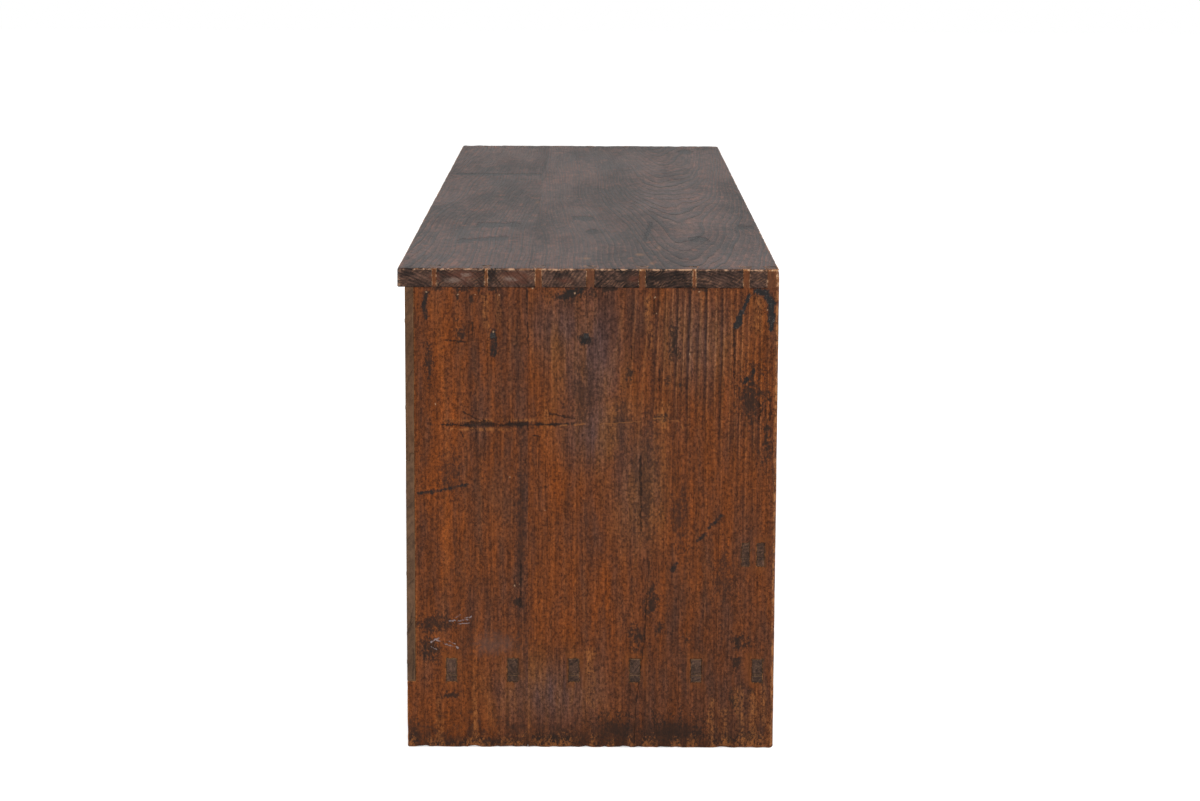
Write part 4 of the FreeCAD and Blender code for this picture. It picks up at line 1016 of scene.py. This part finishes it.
def chipDepth(co, corners, chips):
    rooms = sorted(min(co[axis] - corners[0][axis], corners[1][axis] - co[axis]) for axis in range(3))
    depth = 0.0
    for axis, side, deep, reach in chips:
        gap = abs(co[axis] - corners[side][axis])
        if gap < reach and rooms[1] < reach:
            coarse = chipSet["coarse"] * noise.noise(co * chipSet["coarseScale"])
            fine = chipSet["fine"] * noise.noise(co * chipSet["fineScale"])
            bite = max(0.0, chipSet["bite"] + coarse + fine)
            depth += deep * (1.0 - gap / reach) * (1.0 - rooms[1] / reach) * bite
    return depth


def wearSurface(bm, name, corners, kind):
    for axis, step in kind["slices"].items():
        way = Vector((0.0, 0.0, 0.0))
        way[axis] = 1.0
        count = int((corners[1][axis] - corners[0][axis]) / step)
        for index in range(1, count):
            spot = Vector((0.0, 0.0, 0.0))
            spot[axis] = corners[0][axis] + (index + boardSet["sliceShift"]) * step
            everything = bm.verts[:] + bm.edges[:] + bm.faces[:]
            bmesh.ops.bisect_plane(bm, geom=everything, dist=0.000001, plane_co=spot, plane_no=way)
    bm.normal_update()
    opened = openCorners(name, corners)
    for vert in bm.verts:
        depth = chipDepth(vert.co, opened, kind["chips"])
        if depth > 0.0:
            vert.co = keptInside(vert.co - vert.normal * depth, corners)


def setVectors(mesh, name, values):
    layer = mesh.attributes.new(name, "FLOAT_VECTOR", "POINT")
    layer.data.foreach_set("vector", [part for value in values for part in value])


def grainAttributes(name, mesh, corners, fibre, order):
    draw = random.Random(boardSet["seed"] + order)
    size = corners[1] - corners[0]
    cross = sorted((axis for axis in range(3) if axis != fibre), key=lambda axis: -size[axis])
    pith = Vector((0.0, 0.0, 0.0))
    wide, thick = cross
    pith[wide] = corners[0][wide] + size[wide] * draw.uniform(*boardSet["pithAcross"])
    away = draw.choice((-1, 1)) * draw.uniform(*boardSet["pithAway"])
    pith[thick] = (corners[0] + corners[1])[thick] / 2 + away
    slide = draw.uniform(*boardSet["slides"])
    shade, warmth = draw.uniform(*boardSet["shades"]), draw.uniform(*boardSet["warmths"])
    if name in pithAt:
        pith = Vector(pithAt[name])
        shade, warmth = 1.0, 0.0
    way = [0.0, 0.0, 0.0]
    way[fibre] = 1.0
    tilt = pithTilt.get(name, 0.0)
    low, high = openCorners(name, corners)
    places = [vert.co for vert in mesh.vertices]
    setVectors(mesh, "grain", [(co[wide] - pith[wide], co[thick] - pith[thick] - tilt * co[fibre],
                                co[fibre] + slide) for co in places])
    setVectors(mesh, "lowRoom", [co - low for co in places])
    setVectors(mesh, "highRoom", [high - co for co in places])
    setVectors(mesh, "fibreWay", [way for _ in places])
    setVectors(mesh, "boardTone", [(shade + warmth, shade, shade - warmth) for _ in places])


def inside(name, face):
    # the unfinished side of a board, which the closed case hides
    middle, normal = face.calc_center_median(), face.normal
    out = abs(middle.x)
    if "_end_" in name:
        behind = middle.y > innerSet["endFront"] and middle.z > innerSet["endFloor"]
        return out < innerSet["endInside"] and abs(normal.x) > innerSet["faceOn"] and behind
    if name.startswith("top_") and name.endswith("board"):
        below = normal.z < -innerSet["faceOn"]
        return below and out < innerSet["topInside"] and middle.y < innerSet["topBack"]
    if name.endswith("_drawer_front"):
        return middle.y > innerSet["drawerInside"]
    if name.startswith("bottom_"):
        return out < innerSet["bottomInside"] and middle.y > innerSet["bottomFront"]
    return False


def tenonEnd(name, face):
    through = abs(face.calc_center_median().x) > innerSet["tenonFrom"]
    return name.startswith(("bottom_", "middle_rail")) and through


def makeBoard(name, order):
    kind = settingsFor(boardKinds, name, plainBoard)
    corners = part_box(name)
    piece = roundArrises(name + "_worn", mergedCopy(name), corners, kind)
    mesh = piece.data
    for layer in [layer for layer in mesh.attributes if layer.name in ("custom_normal", "UVMap")]:
        mesh.attributes.remove(layer)
    mesh.materials.clear()
    for material in (woodFinish[slotOf[name]], woodFinish["inner_wood"], woodFinish["wedge_wood"]):
        mesh.materials.append(material)
    bm = bmesh.new()
    bm.from_mesh(mesh)
    if "slices" in kind:
        wearSurface(bm, name, corners, kind)
    for vert in bm.verts:
        vert.co = keptInside(vert.co, corners)
    bm.normal_update()
    for face in bm.faces:
        squarest = max(abs(part) for part in face.normal)
        face.smooth = "slices" in kind or squarest < boardSet["squareFrom"]
        face.material_index = 1 if inside(name, face) else 2 if tenonEnd(name, face) else 0
    bm.to_mesh(mesh)
    bm.free()
    if "slices" in kind:
        mesh.set_sharp_from_angle(angle=math.radians(boardSet["sharpAbove"]))
    grainAttributes(name, mesh, corners, kind["fibre"], order)
    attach(piece, bodyOf[name])
    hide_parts(name)


boardNames = [name for name in sorted(frame["nodes"]) if slotOf[name] not in ("iron", "wedge_wood")]
for order, name in enumerate(boardNames):
    makeBoard(name, order)
makeBoard("tenon_wedges", len(boardNames))
print("boards worn:", len(boardNames) + 1)


# forged iron
ironSet = {
    "pullAxis": -0.19825, "pullLevel": 0.161, "eyeAt": 0.042, "weld": 0.000005, "corner": 50,
    "hammer": 160.0, "fineHammer": 420.0, "fineShare": 0.4, "hollow": 0.45,
}
bailSet = {
    "rod": 0.00274, "sides": 18, "stub": 0.036, "leg": 0.054, "drop": 0.034,
    "topBend": 0.006, "topSteps": 7, "lowBend": 0.014, "lowSteps": 11, "step": 0.003, "seamWeld": 0.00001,
    "thinner": 0.0005, "dints": 0.0003,
}
postSet = {
    "eyeRing": 0.0055, "eyeRod": 0.00198, "eyeSides": 14, "ringSteps": 40, "shank": 0.0038,
    "shankEdge": 0.0004,
    "shankFrom": -0.1935, "face": -0.18825, "inside": -0.17025, "clinch": (0.0038, 0.00155, 0.0255),
    "clinchEdge": 0.0005, "barSteps": 2,
    "washer": [(0.0019, 0.0015), (0.0042, 0.0015), (0.0068, 0.00128), (0.0091, 0.0009), (0.0104, 0.00058),
               (0.0109, 0.0003), (0.0109, 0.0)], "washerSteps": 48, "dints": 0.00022,
}
cupSet = {
    "profile": [(0.0, 0.0069), (0.0062, 0.0069), (0.0084, 0.0065), (0.0095, 0.0055), (0.0099, 0.0042),
                (0.0100, 0.0016), (0.0103, 0.0006), (0.0109, 0.00015), (0.0115, 0.0), (0.0123, 0.0),
                (0.0128, 0.00025), (0.0130, 0.0007), (0.0130, 0.001), (0.0110, 0.001), (0.0110, 0.008),
                (0.0, 0.008)],
    "steps": 56, "dints": 0.0001, "corner": 35,
}
nailSet = {"edge": 0.00035, "steps": 2, "dints": 0.0002, "sharp": 0.2}


def dint(bm, deep):
    # hammer marks: shallow hollows, always inwards
    bm.normal_update()
    for vert in bm.verts:
        coarse = noise.noise(vert.co * ironSet["hammer"])
        fine = ironSet["fineShare"] * noise.noise(vert.co * ironSet["fineHammer"])
        push = max(0.0, ironSet["hollow"] + coarse + fine)
        vert.co -= vert.normal * min(1.0, push) * deep


def ironPiece(name, bm, corner=ironSet["corner"]):
    bmesh.ops.remove_doubles(bm, verts=bm.verts, dist=ironSet["weld"])
    bmesh.ops.recalc_face_normals(bm, faces=bm.faces)
    mesh = bpy.data.meshes.new(name + "_forged")
    for face in bm.faces:
        face.smooth = True
    bm.to_mesh(mesh)
    bm.free()
    mesh.materials.append(iron)
    mesh.set_sharp_from_angle(angle=math.radians(corner))
    piece = bpy.data.objects.new(name + "_forged", mesh)
    bpy.context.scene.collection.objects.link(piece)
    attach(piece, bodyOf[name])
    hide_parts(name)


def drawOn(bm, loop, way, length, step):
    # draws a rod on from its open end in short runs
    count = max(1, round(length / step))
    for _ in range(count):
        made = bmesh.ops.extrude_edge_only(bm, edges=loop)["geom"]
        loop = [item for item in made if isinstance(item, bmesh.types.BMEdge)]
        ends = [item for item in made if isinstance(item, bmesh.types.BMVert)]
        bmesh.ops.translate(bm, vec=Vector(way) * (length / count), verts=ends)
        loop = [edge for edge in loop if all(vert in ends for vert in edge.verts)]
    return loop


def bendOn(bm, loop, centre, angle, steps):
    verts = list({vert for edge in loop for vert in edge.verts})
    made = bmesh.ops.spin(bm, geom=verts + loop, cent=centre, axis=(0.0, 1.0, 0.0), angle=angle, steps=steps)
    return [item for item in made["geom_last"] if isinstance(item, bmesh.types.BMEdge)]


def makeBail(name):
    low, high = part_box(name)
    middle, axis, level = (low.x + high.x) / 2, ironSet["pullAxis"], ironSet["pullLevel"]
    leg, drop, top, under = bailSet["leg"], bailSet["drop"], bailSet["topBend"], bailSet["lowBend"]
    bm = bmesh.new()
    turn = Matrix.Translation((-bailSet["stub"], 0.0, 0.0)) @ Matrix.Rotation(math.pi / 2, 4, "Y")
    bmesh.ops.create_circle(bm, segments=bailSet["sides"], radius=bailSet["rod"], matrix=turn)
    loop = bm.edges[:]
    bmesh.ops.edgeloop_fill(bm, edges=loop)
    step = bailSet["step"]
    loop = drawOn(bm, loop, (-1.0, 0.0, 0.0), leg - top - bailSet["stub"], step)
    loop = bendOn(bm, loop, (top - leg, 0.0, -top), -math.pi / 2, bailSet["topSteps"])
    loop = drawOn(bm, loop, (0.0, 0.0, -1.0), drop - under - top, step)
    loop = bendOn(bm, loop, (under - leg, 0.0, under - drop), -math.pi / 2, bailSet["lowSteps"])
    drawOn(bm, loop, (1.0, 0.0, 0.0), leg - under, step)
    everything = bm.verts[:] + bm.edges[:] + bm.faces[:]
    bmesh.ops.mirror(bm, geom=everything, axis="X", merge_dist=bailSet["seamWeld"])
    bmesh.ops.recalc_face_normals(bm, faces=bm.faces)
    bm.normal_update()
    for vert in bm.verts:
        vert.co -= vert.normal * bailSet["thinner"] * min(1.0, max(0.0, 1.0 + vert.co.z / drop))
    bmesh.ops.translate(bm, vec=(middle, axis, level), verts=bm.verts)
    dint(bm, bailSet["dints"])
    ironPiece(name, bm)


def roundBar(bm, middle, size, edge):
    # a square bar with softened edges
    shape = Matrix.LocRotScale(middle, None, size)
    made = bmesh.ops.create_cube(bm, size=1.0, matrix=shape)["verts"]
    edges = list({edge for vert in made for edge in vert.link_edges})
    bmesh.ops.bevel(bm, geom=edges, offset=edge, offset_type="OFFSET", affect="EDGES",
                    segments=postSet["barSteps"], profile=0.5, material=-1)


def turned(bm, profile, centre, axis, steps, place):
    # spins a profile, given as distance out and depth, round an axis
    spots = [bm.verts.new(place(out, depth)) for out, depth in profile]
    edges = [bm.edges.new(pair) for pair in zip(spots, spots[1:])]
    bmesh.ops.spin(bm, geom=spots + edges, cent=centre, axis=axis, angle=math.tau, steps=steps,
                   use_merge=True)


def makePosts(name):
    low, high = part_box(name)
    middle, axis, level = (low.x + high.x) / 2, ironSet["pullAxis"], ironSet["pullLevel"]
    face, back = postSet["face"], postSet["inside"]
    bm = bmesh.new()
    for side in (-1, 1):
        across = middle + side * ironSet["eyeAt"]
        upright = Matrix.Rotation(-math.pi / 2, 4, "X")
        turn = Matrix.Translation((across, axis, level + postSet["eyeRing"])) @ upright
        made = bmesh.ops.create_circle(bm, segments=postSet["eyeSides"], radius=postSet["eyeRod"], matrix=turn)
        ring = made["verts"]
        edges = list({edge for vert in ring for edge in vert.link_edges})
        bmesh.ops.spin(bm, geom=ring + edges, cent=(across, axis, level), axis=(1.0, 0.0, 0.0), angle=math.tau,
                       steps=postSet["ringSteps"], use_merge=True)
        near, far, shank = postSet["shankFrom"], back + postSet["clinch"][1], postSet["shank"]
        roundBar(bm, (across, (near + far) / 2, level), (shank, far - near, shank), postSet["shankEdge"])
        roundBar(bm, (across, (back + far) / 2, level), postSet["clinch"], postSet["clinchEdge"])
        turned(bm, postSet["washer"], (across, face, level), (0.0, 1.0, 0.0), postSet["washerSteps"],
               lambda out, depth: (across + out, face - depth, level))
    bmesh.ops.recalc_face_normals(bm, faces=bm.faces)
    dint(bm, postSet["dints"])
    ironPiece(name, bm)


def makeCup(name):
    low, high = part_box(name)
    across, level = (low.x + high.x) / 2, (low.z + high.z) / 2
    bm = bmesh.new()
    turned(bm, cupSet["profile"], (across, low.y, level), (0.0, 1.0, 0.0), cupSet["steps"],
           lambda out, depth: (across + out, low.y + depth, level))
    bmesh.ops.remove_doubles(bm, verts=bm.verts, dist=ironSet["weld"])
    bmesh.ops.recalc_face_normals(bm, faces=bm.faces)
    dint(bm, cupSet["dints"])
    ironPiece(name, bm, cupSet["corner"])


def makeNails(name):
    bm = mergedCopy(name)
    edges = [edge for edge in bm.edges if edge.calc_face_angle(0.0) > nailSet["sharp"]]
    bmesh.ops.bevel(bm, geom=edges, offset=nailSet["edge"], offset_type="OFFSET", affect="EDGES",
                    segments=nailSet["steps"], profile=0.5, material=-1)
    dint(bm, nailSet["dints"])
    ironPiece(name, bm)


ironMakers = {"_bail": makeBail, "_pull_posts": makePosts, "_finger_cup": makeCup, "_nails": makeNails}
for name in sorted(frame["nodes"]):
    for ending, make in ironMakers.items():
        if name.endswith(ending):
            make(name)
print("iron forged")
